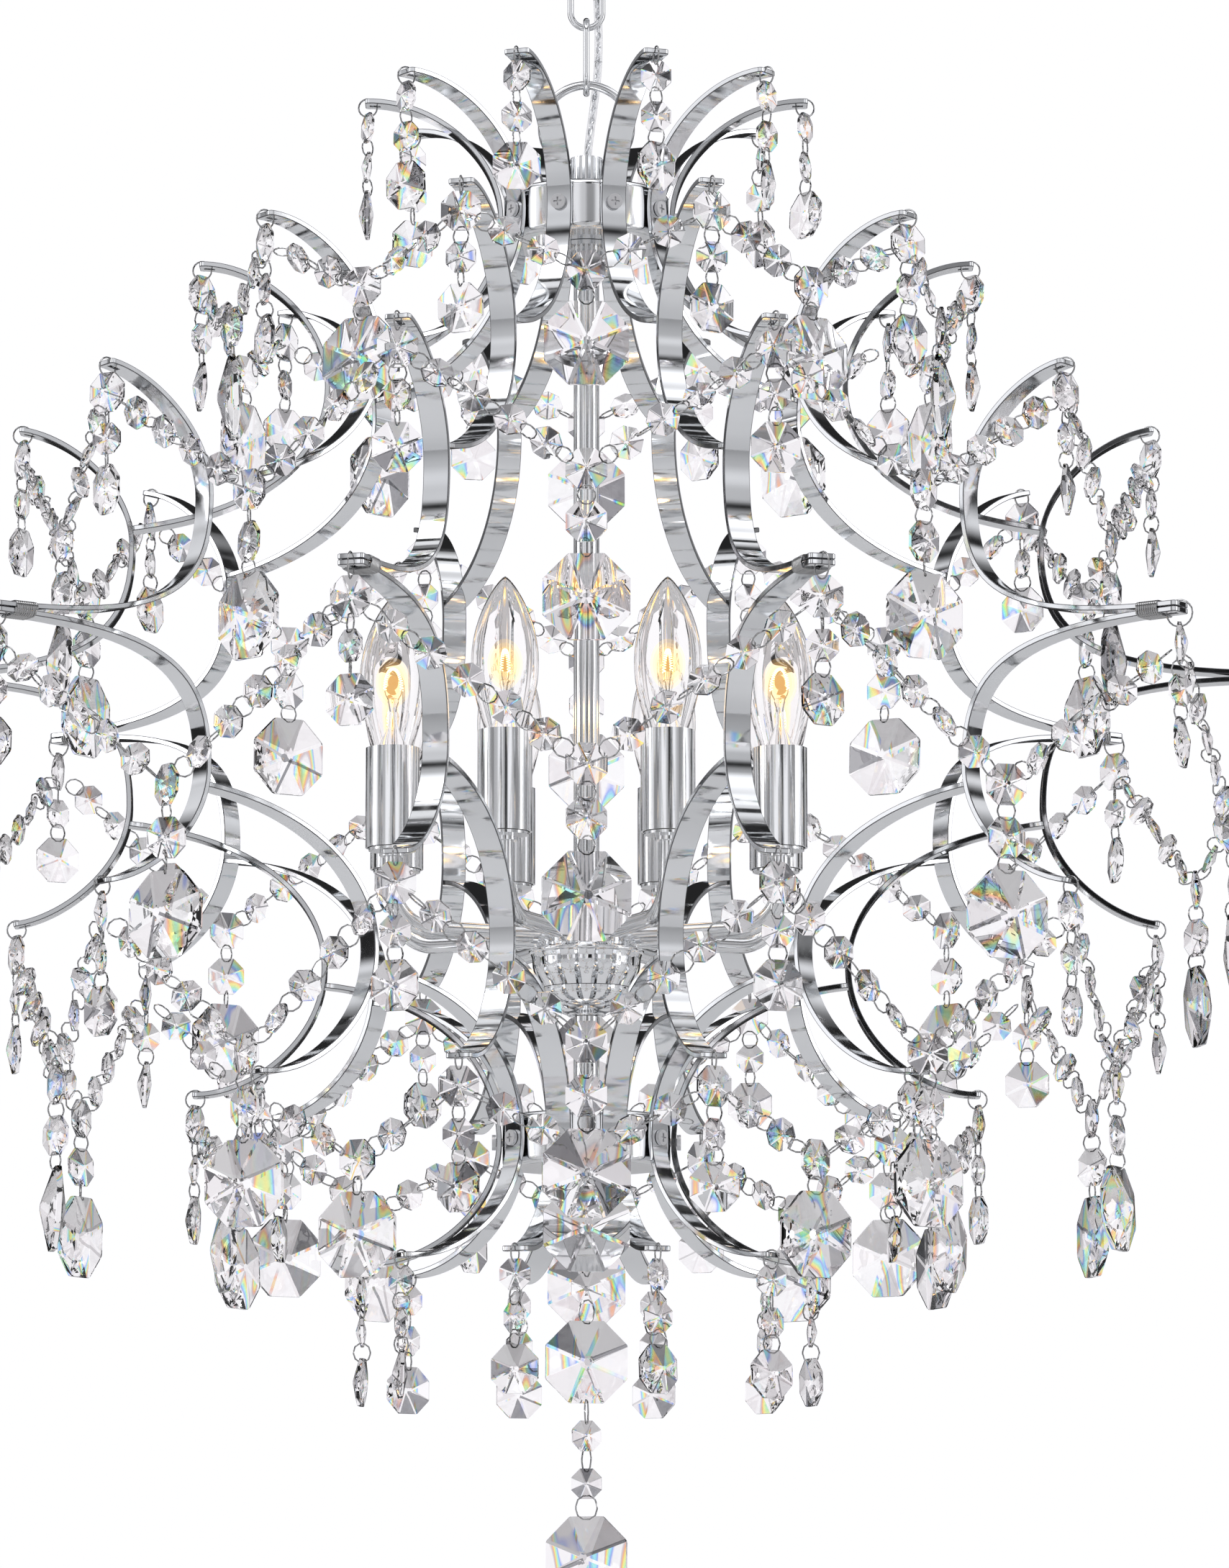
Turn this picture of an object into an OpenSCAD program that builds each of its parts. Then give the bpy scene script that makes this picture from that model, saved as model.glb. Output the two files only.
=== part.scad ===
// Ten-rib cage chandelier with eight candle lamps, crystal garlands and a short chain.
// The origin is the middle of the ceiling face of the canopy, +Z up, millimetres.
// The cage is a mirror image of itself above and below its waist plane.

/* [Hanging] */
// Ceiling face down to the waist plane of the cage
waist_drop = 395; // [395:1:460]
// Diameter of the ceiling canopy
canopy_d = 120; // [100:1:140]
// Depth of the ceiling canopy
canopy_h = 25; // [22:1:30]
// Spacing of the two mounting slots in the crossbar
crossbar_spacing = 88; // [70:1:92]
// Outer length of a chain link
link_l = 38; // [34:1:42]
// Outer width of a chain link
link_w = 18; // [17:1:22]
// Wire of the chain
link_wire = 3; // [2.5:0.1:3.4]
// Outer diameter of the hanging ring on the cage
ring_d = 46; // [40:1:50]
// Wire of the hanging ring
ring_wire = 4; // [3:0.1:4.5]

/* [Cage] */
// Number of ribs round the cage
rib_count = 10; // [10:1:10]
// Radius of the cage at its waist
waist_r = 325; // [300:1:340]
// Width of the flat bar of a rib
bar_w = 12; // [9:0.5:14]
// Thickness of the flat bar of a rib
bar_t = 2.4; // [2:0.1:3]
// Radius of the two hub drums that the ribs are screwed to
hub_r = 39; // [36:0.5:39]
// Height of a hub drum
hub_h = 24; // [18:1:28]
// Height of the hubs' middles above and below the waist
hub_z = 219; // [215:1:222]

/* [Lamps] */
// Number of lamps
lamp_count = 8; // [8:1:8]
// Radius of the ring of lamps
lamp_r = 97; // [90:1:105]
// Height of the candle sleeves' feet, from the waist
sleeve_foot_z = -86; // [-92:1:-80]
// Diameter of a candle sleeve
sleeve_d = 25; // [23:0.5:28]
// Height of a candle sleeve
sleeve_h = 46.5; // [42:0.5:52]
// Diameter of the bent tube of a lamp arm
arm_d = 8; // [7:0.5:9]
// Height of the arms' level run, from the waist
arm_z = -123; // [-124:1:-122]
// Largest diameter of a candle bulb
bulb_d = 31; // [28:0.5:34]
// Height of a bulb's glass above its sleeve
bulb_h = 72; // [60:1:80]

/* [Crystals] */
// Width across the flats of a small octagon
small_w = 14; // [12:0.5:15]
// Width across the flats of a middle octagon
middle_w = 18; // [16:0.5:19]
// Width across the flats of an octagon at the end of a short pendant
end_w = 22; // [18:0.5:24]
// Width across the flats of a large octagon
large_w = 38; // [34:0.5:42]
// Clear gap between two linked octagons
crystal_gap = 5.2; // [4.6:0.1:6]

/* [Hidden] */

$fn = 64;
fit = 0.2;          // gap between neighbours that only meet
rib_turn = 18;      // first rib's angle from -Y
rib_step = 360 / rib_count;
lamp_turn = 22.5;   // first lamp's angle from -Y
lamp_step = 360 / lamp_count;
waist_z = -waist_drop;

// Chain: heights above the waist of the wires that hang in each other
wire_play = 0.3;
ring_mid_r = (ring_d - ring_wire) / 2;
ring_z = 264;
lower_link_foot = ring_z + ring_mid_r - (ring_wire + link_wire) / 2 - wire_play;
link_run = link_l - link_wire;
upper_link_foot = lower_link_foot + link_run - link_wire - wire_play;
loop_wire = 4;
loop_mid_r = 9;
loop_foot = upper_link_foot + link_run - (link_wire + loop_wire) / 2 - wire_play;
loop_z = loop_foot + loop_mid_r;

// Column
column_d = 12;
column_bore = 10.3;
rod_d = 9.8;
rod_bore = 7;
collar_h = 13;
cap_d = 15;
cap_h = 18;
cap_foot_z = hub_z + hub_h / 2;
bowl_top_z = -116;
bowl_seam_z = -147;
bowl_foot_z = -160;
bowl_rim_r = 27;
bowl_seam_r = 21;

// Screws that hold the ribs on the hubs
screw_head_r = 3.6;
screw_head_h = 1.8;
screw_r = 1.9;
screw_hole_r = 2.1;
bar_mid_r = hub_r + bar_t / 2 + 0.3;

// Eye at a tip: a slot, and a wire ring round the bridge between the slot and the bar's end
bridge_w = 2.4;
slot_w = 2.4;
slot_l = 4.6;
waist_slot_l = 6;
eye_ring_r = 4.4;
eye_ring_wire = 0.9;
eye_drop = 11.7;        // from the bridge's middle down to the middle of a small octagon
waist_eye_ring_r = 6;
waist_eye_drop = 16;

small_t = 4;
middle_t = 4.5;
end_t = 5;
large_t = 8;
bar_gap = 0.9;          // gap at each end of a link between two octagons
link_bar = 1.2;

// Three crescents of the upper half, as [radius, height above the waist]:
// tip, its handle, the handle before the bulge, bulge, the handle after it, the foot's handle, foot
CROWN = [[105, 276], [72, 277], [bar_mid_r, 250], [bar_mid_r, hub_z],
         [bar_mid_r, 185], [65, 152], [122, 146]];
SHOULDER = [[183, 197], [156, 198], [122, 172], [122, 138],
            [122, 108], [148, 78], [213.6, 70]];
WAIST = [[267, 117.5], [243, 114.5], [213.5, 90], [213.5, 62],
         [213.5, 20], [232, bar_t / 2 + 0.1], [waist_r, bar_t / 2 + 0.1]];
crescent_steps = 14;

// Height of the V's middle octagon in each garland
crown_low = 156;
shoulder_low = 50;
waist_low = -88;
hip_low = -200;
foot_low = -240;

// ---------- helpers ----------

function bezier(p, a, t) =
    pow(1 - t, 3) * p[a] + 3 * pow(1 - t, 2) * t * p[a + 1]
    + 3 * (1 - t) * pow(t, 2) * p[a + 2] + pow(t, 3) * p[a + 3];

function bezier_way(p, a, t) =
    3 * pow(1 - t, 2) * (p[a + 1] - p[a]) + 6 * (1 - t) * t * (p[a + 2] - p[a + 1])
    + 3 * pow(t, 2) * (p[a + 3] - p[a + 2]);

function beside(p, a, t, away) =
    let (way = bezier_way(p, a, t), size = norm(way))
    bezier(p, a, t) + away * [-way[1], way[0]] / size;

function one_side(p, away) = [
    for (a = [0, 3], i = [a == 0 ? 0 : 1 : crescent_steps]) beside(p, a, i / crescent_steps, away)
];

function backwards(list) = [for (i = [len(list) - 1 : -1 : 0]) list[i]];

// Places its children at an angle from -Y, with their +X pointing outwards
module outwards(angle) {
    rotate([0, 0, angle - 90]) children();
}

module at_waist() {
    translate([0, 0, waist_z]) children();
}

module tube(outer_d, inner_d, low, high) {
    difference() {
        translate([0, 0, low]) cylinder(d = outer_d, h = high - low);
        translate([0, 0, low - 1]) cylinder(d = inner_d, h = high - low + 2);
    }
}

module round_ring(mid_r, wire) {
    rotate_extrude() translate([mid_r, 0]) circle(d = wire, $fn = 24);
}

// An upright oval link whose lower bend has its wire's middle at foot
module oval_link(foot) {
    bend_r = (link_w - link_wire) / 2;
    side = link_run - 2 * bend_r;
    translate([0, 0, foot + bend_r]) rotate([90, 0, 0]) {
        rotate([0, 0, 180]) rotate_extrude(angle = 180) translate([bend_r, 0])
            circle(d = link_wire, $fn = 24);
        translate([0, side, 0]) rotate_extrude(angle = 180) translate([bend_r, 0])
            circle(d = link_wire, $fn = 24);
        for (x = [-bend_r, bend_r])
            translate([x, 0, 0]) rotate([-90, 0, 0]) cylinder(d = link_wire, h = side, $fn = 24);
    }
}

// An octagon standing on a flat, its face along X
module octagon(w, t) {
    rotate([0, 90, 0]) rotate([0, 0, 22.5])
        cylinder(d = w / cos(22.5), h = t, center = true, $fn = 8);
}

// A link between two octagons: a thin bar from height high down to height low
module link_between(high, low) {
    translate([-link_bar / 2, -link_bar / 2, low + bar_gap])
        cube([link_bar, link_bar, high - low - 2 * bar_gap]);
}

// An octagon with a notch in its upper flat, for the eye's ring
module eye_octagon(w, t, notch) {
    difference() {
        octagon(w, t);
        translate([-t, -1, w / 2 - notch]) cube([2 * t, 2, notch + 1]);
    }
}

// ---------- canopy and chain ----------

module ceiling_canopy() {
    wall = 1.5;
    color("silver") difference() {
        rotate_extrude() difference() {
            polygon([[0, 0], [canopy_d / 2, 0], [canopy_d / 2, -4], [canopy_d / 2 - 8, -canopy_h + 7],
                     [20, -canopy_h], [0, -canopy_h]]);
            polygon([[-1, 1], [canopy_d / 2 - wall, 1], [canopy_d / 2 - wall, -4],
                     [canopy_d / 2 - 8 - wall, -canopy_h + 7 + wall],
                     [20, -canopy_h + wall], [-1, -canopy_h + wall]]);
        }
        translate([0, 0, -canopy_h - 1]) cylinder(d = 10.4, h = 4);
    }
}

module canopy_crossbar() {
    color("gainsboro") translate([0, 0, -3]) difference() {
        translate([-canopy_d / 2 + 5, -9, 0]) cube([canopy_d - 10, 18, 3]);
        for (x = [-crossbar_spacing / 2, crossbar_spacing / 2])
            translate([x, 0, -1]) cylinder(d = 4.4, h = 5);
        translate([0, 0, -1]) cylinder(d = 10.4, h = 5);
    }
}

module canopy_screws() {
    // threaded nipple that carries the loop through crossbar and canopy, and its two nuts
    color("lightgrey") {
        tube(10, 6, -canopy_h - 4.8, -0.2);
        for (z = [-6.4, -canopy_h + 1.7])
            translate([0, 0, z]) difference() {
                cylinder(d = 17, h = 3, $fn = 6);
                translate([0, 0, -1]) cylinder(d = 10.2, h = 5);
            }
    }
}

module canopy_loop() {
    top = -canopy_h - fit;
    foot = waist_z + loop_z + loop_mid_r - 1;
    color("silver") {
        difference() {
            translate([0, 0, foot]) cylinder(d = 20, h = top - foot);
            translate([0, 0, top - 4.7]) cylinder(d = 10.2, h = 6);
            translate([cord_side, cord_side, foot - 1]) cylinder(d = cord_d + 0.8, h = top - foot - 3);
        }
        translate([0, 0, waist_z + loop_z]) rotate([0, 90, 0]) round_ring(loop_mid_r, loop_wire);
    }
}

module chain_link_upper() {
    color("silver") at_waist() oval_link(upper_link_foot);
}

module chain_link_lower() {
    color("silver") at_waist() rotate([0, 0, 90]) oval_link(lower_link_foot);
}

// ---------- supply cord ----------

cord_d = 3.8;
cord_side = 4.5;        // the cord's way out of the loop's stem, across and behind the axis
// From inside the loop's stem, beside the chain, behind the hanging ring and into the cap
CORD = [[4.5, 4.5, 364], [4.5, 4.5, 356], [4.6, 4.6, 347], [4.8, 4.8, 338], [5.2, 5, 328],
        [5.6, 5.2, 318], [5.8, 5.4, 308], [5.6, 5.6, 298], [4.9, 5.6, 288], [3.6, 5.4, 277],
        [2.2, 5.1, 266], [1, 4.8, 256], [0.4, 4.6, 248], [0.2, 4.6, 242], [0.2, 4.6, 237]];

function sum_to(list, i) = i < 0 ? 0 : list[i] + sum_to(list, i - 1);

function smooth_point(p, i, t) =
    let (a = p[max(i - 1, 0)], b = p[i], c = p[i + 1], d = p[min(i + 2, len(p) - 1)])
    0.5 * (2 * b + (c - a) * t + (2 * a - 5 * b + 4 * c - d) * pow(t, 2)
           + (3 * b - a - 3 * c + d) * pow(t, 3));

function smooth_line(p, steps) = concat(
    [for (i = [0 : len(p) - 2], k = [0 : steps - 1]) smooth_point(p, i, k / steps)],
    [p[len(p) - 1]]);

module swept_cord(points, d, sides) {
    line = smooth_line(points, 2);
    last = len(line) - 1;
    rings = [for (i = [0 : last])
        let (way = line[min(i + 1, last)] - line[max(i - 1, 0)], w = way / norm(way),
             u0 = cross(w, [0, 1, 0.01]), u = u0 / norm(u0), v = cross(w, u))
        for (k = [0 : sides - 1])
            line[i] + d / 2 * (cos(360 * k / sides) * u + sin(360 * k / sides) * v)];
    walls = [for (i = [0 : last - 1], k = [0 : sides - 1])
        let (n = (k + 1) % sides)
        [i * sides + k, (i + 1) * sides + k, (i + 1) * sides + n, i * sides + n]];
    first_cap = [for (k = [0 : sides - 1]) k];
    last_cap = [for (k = [sides - 1 : -1 : 0]) last * sides + k];
    polyhedron(points = rings, faces = concat(walls, [first_cap, last_cap]), convexity = 8);
}

module power_cord() {
    color("whitesmoke") at_waist() swept_cord(CORD, cord_d, 8);
}

// ---------- hubs and column ----------

module hanging_ring() {
    color("silver") at_waist() translate([0, 0, ring_z]) rotate([90, 0, 0])
        round_ring(ring_mid_r, ring_wire);
}

module ring_cap() {
    foot = cap_foot_z + fit;
    color("silver") at_waist() difference() {
        union() {
            translate([0, 0, foot]) cylinder(d = cap_d, h = cap_h);
            for (a = [0 : 20 : 340])
                rotate([0, 0, a]) translate([cap_d / 2 - 0.2, -0.6, foot + 0.8])
                    cube([0.8, 1.2, cap_h - 1.6]);
        }
        translate([0, 0, ring_z]) rotate([90, 0, 0])
            round_ring(ring_mid_r, ring_wire + 2 * fit);
        translate([0, 0, foot - 1]) cylinder(d = rod_d + 0.1, h = 5);
        translate([0, 0, foot + 3]) cylinder(d = 11, h = 5.5);
        translate([0.2, 4.6, foot + 5]) cylinder(d = cord_d + 0.8, h = cap_h);
    }
}

module hub_drum(z) {
    edge = 3;
    half = hub_h / 2;
    wall = 2.5;
    translate([0, 0, z]) difference() {
        rotate_extrude() difference() {
            union() {
                translate([0, -half]) square([hub_r - edge, hub_h]);
                translate([0, -half + edge]) square([hub_r, hub_h - 2 * edge]);
                for (y = [-half + edge, half - edge]) translate([hub_r - edge, y]) circle(r = edge);
            }
            translate([-1, -half + wall]) square([hub_r - wall + 1, hub_h - 2 * wall]);
            translate([-100, -50]) square([100, 100]);
        }
        translate([0, 0, -half - 1]) cylinder(d = rod_d + 0.2, h = hub_h + 2);
        for (i = [0 : rib_count - 1]) outwards(rib_turn + i * rib_step)
            translate([hub_r - 6, 0, 0]) rotate([0, 90, 0]) cylinder(r = screw_r + 0.1, h = 10);
    }
}

module top_hub() {
    color("silver") at_waist() hub_drum(hub_z);
}

module bottom_hub() {
    color("silver") at_waist() hub_drum(-hub_z);
}

module hub_screws() {
    seat = bar_mid_r + bar_t / 2 + 0.35;
    color("lightgrey") at_waist() for (z = [-hub_z, hub_z], i = [0 : rib_count - 1])
        outwards(rib_turn + i * rib_step) translate([0, 0, z]) rotate([0, 90, 0]) difference() {
            union() {
                translate([0, 0, hub_r - 5]) cylinder(r = screw_r, h = seat - hub_r + 5.5);
                translate([0, 0, seat]) cylinder(r = screw_head_r, h = screw_head_h);
            }
            for (a = [0, 90]) rotate([0, 0, a])
                translate([-2, -0.4, seat + screw_head_h - 1]) cube([4, 0.8, 2]);
        }
}

module column_collar() {
    top = hub_z - hub_h / 2 - fit;
    color("silver") at_waist() difference() {
        union() {
            translate([0, 0, top - 2]) cylinder(d = 30, h = 2);
            translate([0, 0, top - collar_h]) cylinder(d = 15, h = collar_h - 1);
            for (a = [0 : 20 : 340])
                rotate([0, 0, a]) translate([7.3, -0.6, top - collar_h + 1])
                    cube([0.8, 1.2, collar_h - 4]);
        }
        translate([0, 0, top - collar_h - 1]) cylinder(d = rod_d + 0.2, h = collar_h + 2);
    }
}

module column_tube() {
    top = hub_z - hub_h / 2 - fit - collar_h - fit;
    color("silver") at_waist() {
        tube(column_d, column_bore, bowl_top_z + fit, top);
        tube(column_d, column_bore, -hub_z + hub_h / 2 + fit, bowl_foot_z - fit);
    }
}

module threaded_rod() {
    color("darkgrey") at_waist() difference() {
        tube(rod_d, rod_bore, -hub_z - hub_h / 2 - 7, cap_foot_z + 2.8);
        translate([0, 0, arm_z - 8]) rotate([90, 0, 0]) cylinder(d = 4, h = 40, center = true);
    }
}

// ---------- arm bowl ----------

module arm_bowl() {
    color("silver") at_waist() difference() {
        rotate_extrude() difference() {
            polygon([[0, bowl_top_z], [20, bowl_top_z], [24, bowl_top_z - 2], [24.5, -128],
                     [bowl_rim_r, -129], [bowl_rim_r, -131], [26, -137], [24, -142],
                     [bowl_seam_r, bowl_seam_z + 0.1], [0, bowl_seam_z + 0.1]]);
            polygon([[-1, bowl_top_z - 2], [19, bowl_top_z - 2], [22, bowl_top_z - 4], [22.5, -130],
                     [24, -133], [22.5, -140], [bowl_seam_r - 2, bowl_seam_z - 1],
                     [-1, bowl_seam_z - 1]]);
        }
        translate([0, 0, bowl_top_z - 3]) cylinder(d = rod_d + 0.2, h = 5);
        for (i = [0 : lamp_count - 1]) outwards(lamp_turn + i * lamp_step)
            translate([15, 0, arm_z]) rotate([0, 90, 0]) cylinder(d = arm_d + 0.1, h = 15);
    }
}

module bowl_dome() {
    color("silver") at_waist() difference() {
        rotate_extrude() difference() {
            polygon([[0, bowl_seam_z - 0.1], [bowl_seam_r, bowl_seam_z - 0.1], [20, -151],
                     [17, -155], [12, -158], [8.5, bowl_foot_z], [0, bowl_foot_z]]);
            polygon([[-1, bowl_seam_z + 1], [bowl_seam_r - 2, bowl_seam_z + 1], [18, -150],
                     [15.5, -153.2], [11.5, -155.8], [8, -157.5], [-1, -157.5]]);
        }
        translate([0, 0, bowl_foot_z - 1]) cylinder(d = rod_d + 0.2, h = 5);
    }
}

// ---------- lamps ----------

arm_bend_r = 20;
arm_start = 18;
cup_h = 4;
cup_foot_z = sleeve_foot_z - cup_h;
socket_d = 19;
socket_bore = 12.1;
base_d = 12;
base_h = 17;
sleeve_top_z = sleeve_foot_z + sleeve_h;

// The bent path of an arm, drawn with a round section of diameter d
module arm_path(d, start, top) {
    level = lamp_r - arm_bend_r;
    translate([start, 0, arm_z]) rotate([0, 90, 0]) cylinder(d = d, h = level - start, $fn = 32);
    translate([level, 0, arm_z + arm_bend_r]) rotate([90, 0, 0]) rotate([0, 0, -90])
        rotate_extrude(angle = 90) translate([arm_bend_r, 0]) circle(d = d, $fn = 32);
    translate([lamp_r, 0, arm_z + arm_bend_r])
        cylinder(d = d, h = top - arm_z - arm_bend_r, $fn = 32);
}

module each_lamp() {
    at_waist() for (i = [0 : lamp_count - 1]) outwards(lamp_turn + i * lamp_step) children();
}

module light_arms() {
    color("silver") each_lamp() difference() {
        arm_path(arm_d, arm_start, cup_foot_z + 3);
        arm_path(arm_d - 2.4, arm_start - 1, cup_foot_z + 4);
    }
}

module lamp_wires() {
    color("white") each_lamp() arm_path(3, arm_start - 6, cup_foot_z + 5.5);
}

module candle_cups() {
    color("silver") each_lamp() translate([lamp_r, 0, 0]) difference() {
        union() {
            translate([0, 0, cup_foot_z]) cylinder(d = 12, h = cup_h - 1.2);
            translate([0, 0, cup_foot_z + cup_h - 1.5]) cylinder(d = 22, h = 1.3);
        }
        translate([0, 0, cup_foot_z - 1]) cylinder(d = arm_d + 0.1, h = cup_h + 2);
    }
}

module lamp_sockets() {
    foot = sleeve_foot_z + 0.1;
    top = sleeve_top_z - 1;
    color("ivory") each_lamp() translate([lamp_r, 0, 0]) difference() {
        translate([0, 0, foot]) cylinder(d = socket_d, h = top - foot);
        translate([0, 0, top - base_h - 1]) cylinder(d = socket_bore, h = base_h + 3);
        translate([0, 0, foot - 1]) cylinder(d = 3.4, h = 4);
    }
}

module candle_sleeves() {
    color("silver") each_lamp() translate([lamp_r, 0, 0])
        tube(sleeve_d, sleeve_d - 2, sleeve_foot_z, sleeve_top_z);
}

// Radius of the bulb's glass at a share of its height
function glass_r(s) = s < 0.36
    ? 7.5 + (bulb_d / 2 - 7.5) * sin(90 * s / 0.36)
    : bulb_d / 2 * pow(cos(90 * (s - 0.36) / 0.64), 0.72);

module bulb(i) {
    steps = 16;
    glass_foot = sleeve_top_z - 0.6;
    outline = [for (k = [0 : steps - 1]) [glass_r(k / steps), bulb_h * k / steps]];
    at_waist() outwards(lamp_turn + (i - 1) * lamp_step) translate([lamp_r, 0, 0]) {
        color("ivory") translate([0, 0, glass_foot]) rotate_extrude() difference() {
            polygon(concat([[0, 0]], outline, [[0, bulb_h]]));
            polygon(concat([[0, 1]], [for (p = outline) [p[0] - 0.9, max(p[1], 1)]],
                           [[0, bulb_h - 1.5]]));
        }
        color("gold") translate([0, 0, glass_foot - base_h - 0.4]) {
            cylinder(d = base_d, h = base_h);
            translate([0, 0, -0.6]) cylinder(d = 6, h = 0.8);
        }
    }
}

finial_eye = 18;        // from the finial's top down to the middle of its eye
finial_eye_r = 3.6;

module bottom_finial() {
    top = -hub_z - hub_h / 2 - fit;
    color("silver") at_waist() {
        difference() {
            union() {
                translate([0, 0, top - 8]) cylinder(d = 16, h = 8);
                translate([0, 0, top - 15]) cylinder(d = 9, h = 8);
            }
            translate([0, 0, top - 7]) cylinder(d = rod_d + 0.1, h = 8);
        }
        translate([0, 0, top - finial_eye]) rotate([90, 0, 0]) round_ring(finial_eye_r, 1.6);
    }
}

// ---------- ribs ----------

module crescent(p) {
    rotate([90, 0, 0]) translate([0, 0, -bar_w / 2]) linear_extrude(height = bar_w)
        polygon(concat(one_side(p, bar_t / 2), backwards(one_side(p, -bar_t / 2))));
}

module tip_slot(tip, length) {
    translate([tip[0] - bridge_w - length, -slot_w / 2, tip[1] - 5]) cube([length, slot_w, 10]);
}

module half_rib() {
    difference() {
        union() {
            crescent(CROWN);
            crescent(SHOULDER);
            crescent(WAIST);
        }
        for (p = [CROWN, SHOULDER, WAIST]) tip_slot(p[0], slot_l);
        tip_slot([waist_r, 0], waist_slot_l);
        translate([hub_r - 2, 0, hub_z]) rotate([0, 90, 0]) cylinder(r = screw_hole_r, h = 6);
    }
}

module rib(i) {
    color("silver") at_waist() outwards(rib_turn + (i - 1) * rib_step) {
        half_rib();
        mirror([0, 0, 1]) half_rib();
    }
}

module wire_wraps() {
    inner_t = 2 * bar_t + 1.4;
    wire = 1.2;
    color("silver") at_waist() for (i = [0 : rib_count - 1]) outwards(rib_turn + i * rib_step)
        translate([waist_r - bridge_w - waist_slot_l - 6.4, 0, 0]) difference() {
            cube([12, bar_w + 0.5 + 2 * wire, inner_t + 2 * wire], center = true);
            cube([13, bar_w + 0.5, inner_t], center = true);
        }
}

// ---------- crystals ----------

// Ring in a tip's eye, with the bridge's middle at [0, 0, 0]
module eye_ring(r) {
    rise = r == eye_ring_r ? 2.1 : 2.8;
    translate([0, 0, -rise]) rotate([90, 0, 0]) round_ring(r, eye_ring_wire);
}

// A short pendant below an eye: two linked octagons, then a larger one
module short_pendant(first_w, first_t, drop) {
    second = drop + first_w / 2 + crystal_gap + small_w / 2;
    third = second + small_w / 2 + crystal_gap + end_w / 2;
    translate([0, 0, -drop]) eye_octagon(first_w, first_t, 3.4);
    link_between(-drop - first_w / 2, -second + small_w / 2);
    translate([0, 0, -second]) octagon(small_w, small_t);
    link_between(-second - small_w / 2, -third + end_w / 2);
    translate([0, 0, -third]) octagon(end_w, end_t);
}

module at_eye(r, z, angle) {
    at_waist() outwards(angle) translate([r - bridge_w / 2, 0, z]) children();
}

module crown_pendant(i) {
    color("whitesmoke") at_eye(CROWN[0][0], CROWN[0][1], rib_turn + (i - 1) * rib_step) {
        eye_ring(eye_ring_r);
        short_pendant(small_w, small_t, eye_drop);
    }
}

module foot_pendants() {
    color("whitesmoke") for (i = [0 : rib_count - 1])
        at_eye(CROWN[0][0], -CROWN[0][1], rib_turn + i * rib_step) {
            eye_ring(eye_ring_r);
            short_pendant(small_w, small_t, eye_drop);
        }
}

// Tip octagons of the five garland tiers, as [radius, height, ring, drop]
middle_drop = eye_drop + (middle_w - small_w) / 2;
TIERS = [
    [SHOULDER[0][0], SHOULDER[0][1], eye_ring_r, middle_drop],
    [WAIST[0][0], WAIST[0][1], eye_ring_r, middle_drop],
    [waist_r, 0, waist_eye_ring_r, waist_eye_drop],
    [WAIST[0][0], -WAIST[0][1], eye_ring_r, middle_drop],
    [SHOULDER[0][0], -SHOULDER[0][1], eye_ring_r, middle_drop]
];

module tip_pendants() {
    color("whitesmoke") for (tier = TIERS, i = [0 : rib_count - 1])
        at_eye(tier[0], tier[1], rib_turn + i * rib_step) {
            eye_ring(tier[2]);
            short_pendant(middle_w, middle_t, tier[3]);
        }
}

// One V between two neighbouring ribs, in its own plane: +X outwards, Y along the chord
module garland(tier, low, small_count, extra) {
    eye_r = tier[0] - bridge_w / 2;
    half = eye_r * sin(rib_step / 2);
    start = [half, tier[1] - tier[3]];
    way = [0, low] - start;
    length = norm(way);
    dir = way / length;
    slope = atan2(start[1] - low, half);
    gap = (length - middle_w - small_count * small_w) / (small_count + 1);
    for (i = [0 : rib_count - 1]) at_waist() outwards(i * rib_step)
        translate([eye_r * cos(rib_step / 2), 0, 0]) {
            for (side = [-1, 1]) scale([1, side, 1]) for (k = [0 : small_count]) {
                edge = middle_w / 2 + k * (small_w + gap);
                translate([0, start[0], start[1]]) rotate([slope + 90, 0, 0]) {
                    if (k < small_count) translate([0, 0, edge + gap + small_w / 2])
                        octagon(small_w, small_t);
                    link_between(edge + gap, edge);
                }
            }
            translate([0, 0, low]) octagon(middle_w, middle_t);
            garland_drop(low, extra);
        }
}

// What hangs from the V's middle: none or one middle octagon, then a large one
module garland_drop(low, extra) {
    gap = crystal_gap;
    foot = low - extra * (middle_w + gap);
    if (extra > 0) {
        link_between(low - middle_w / 2, low - middle_w / 2 - gap);
        translate([0, 0, foot]) octagon(middle_w, middle_t);
    }
    link_between(foot - middle_w / 2, foot - middle_w / 2 - gap);
    translate([0, 0, foot - middle_w / 2 - gap - large_w / 2]) octagon(large_w, large_t);
}

module garland_crown() {
    color("whitesmoke") garland(TIERS[0], crown_low, 2, 0);
}

module garland_shoulder() {
    color("whitesmoke") garland(TIERS[1], shoulder_low, 4, 1);
}

module garland_waist() {
    color("whitesmoke") garland(TIERS[2], waist_low, 5, 1);
}

module garland_hip() {
    color("whitesmoke") garland(TIERS[3], hip_low, 4, 1);
}

module garland_foot() {
    color("whitesmoke") garland(TIERS[4], foot_low, 2, 0);
}

// The long drop on the axis under the lower hub, hung in the finial's eye
hook_z = -hub_z - hub_h / 2 - fit - finial_eye - finial_eye_r;
drop_gap = 8;
drop_ring_r = 4.1;
DROP = [[small_w, small_t], [small_w, small_t], [large_w, large_t],
        [small_w, small_t], [small_w, small_t], [large_w, large_t]];

function drop_z(i) = i == 0 ? hook_z - 4.9 - DROP[0][0] / 2
    : drop_z(i - 1) - DROP[i - 1][0] / 2 - drop_gap - DROP[i][0] / 2;

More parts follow.
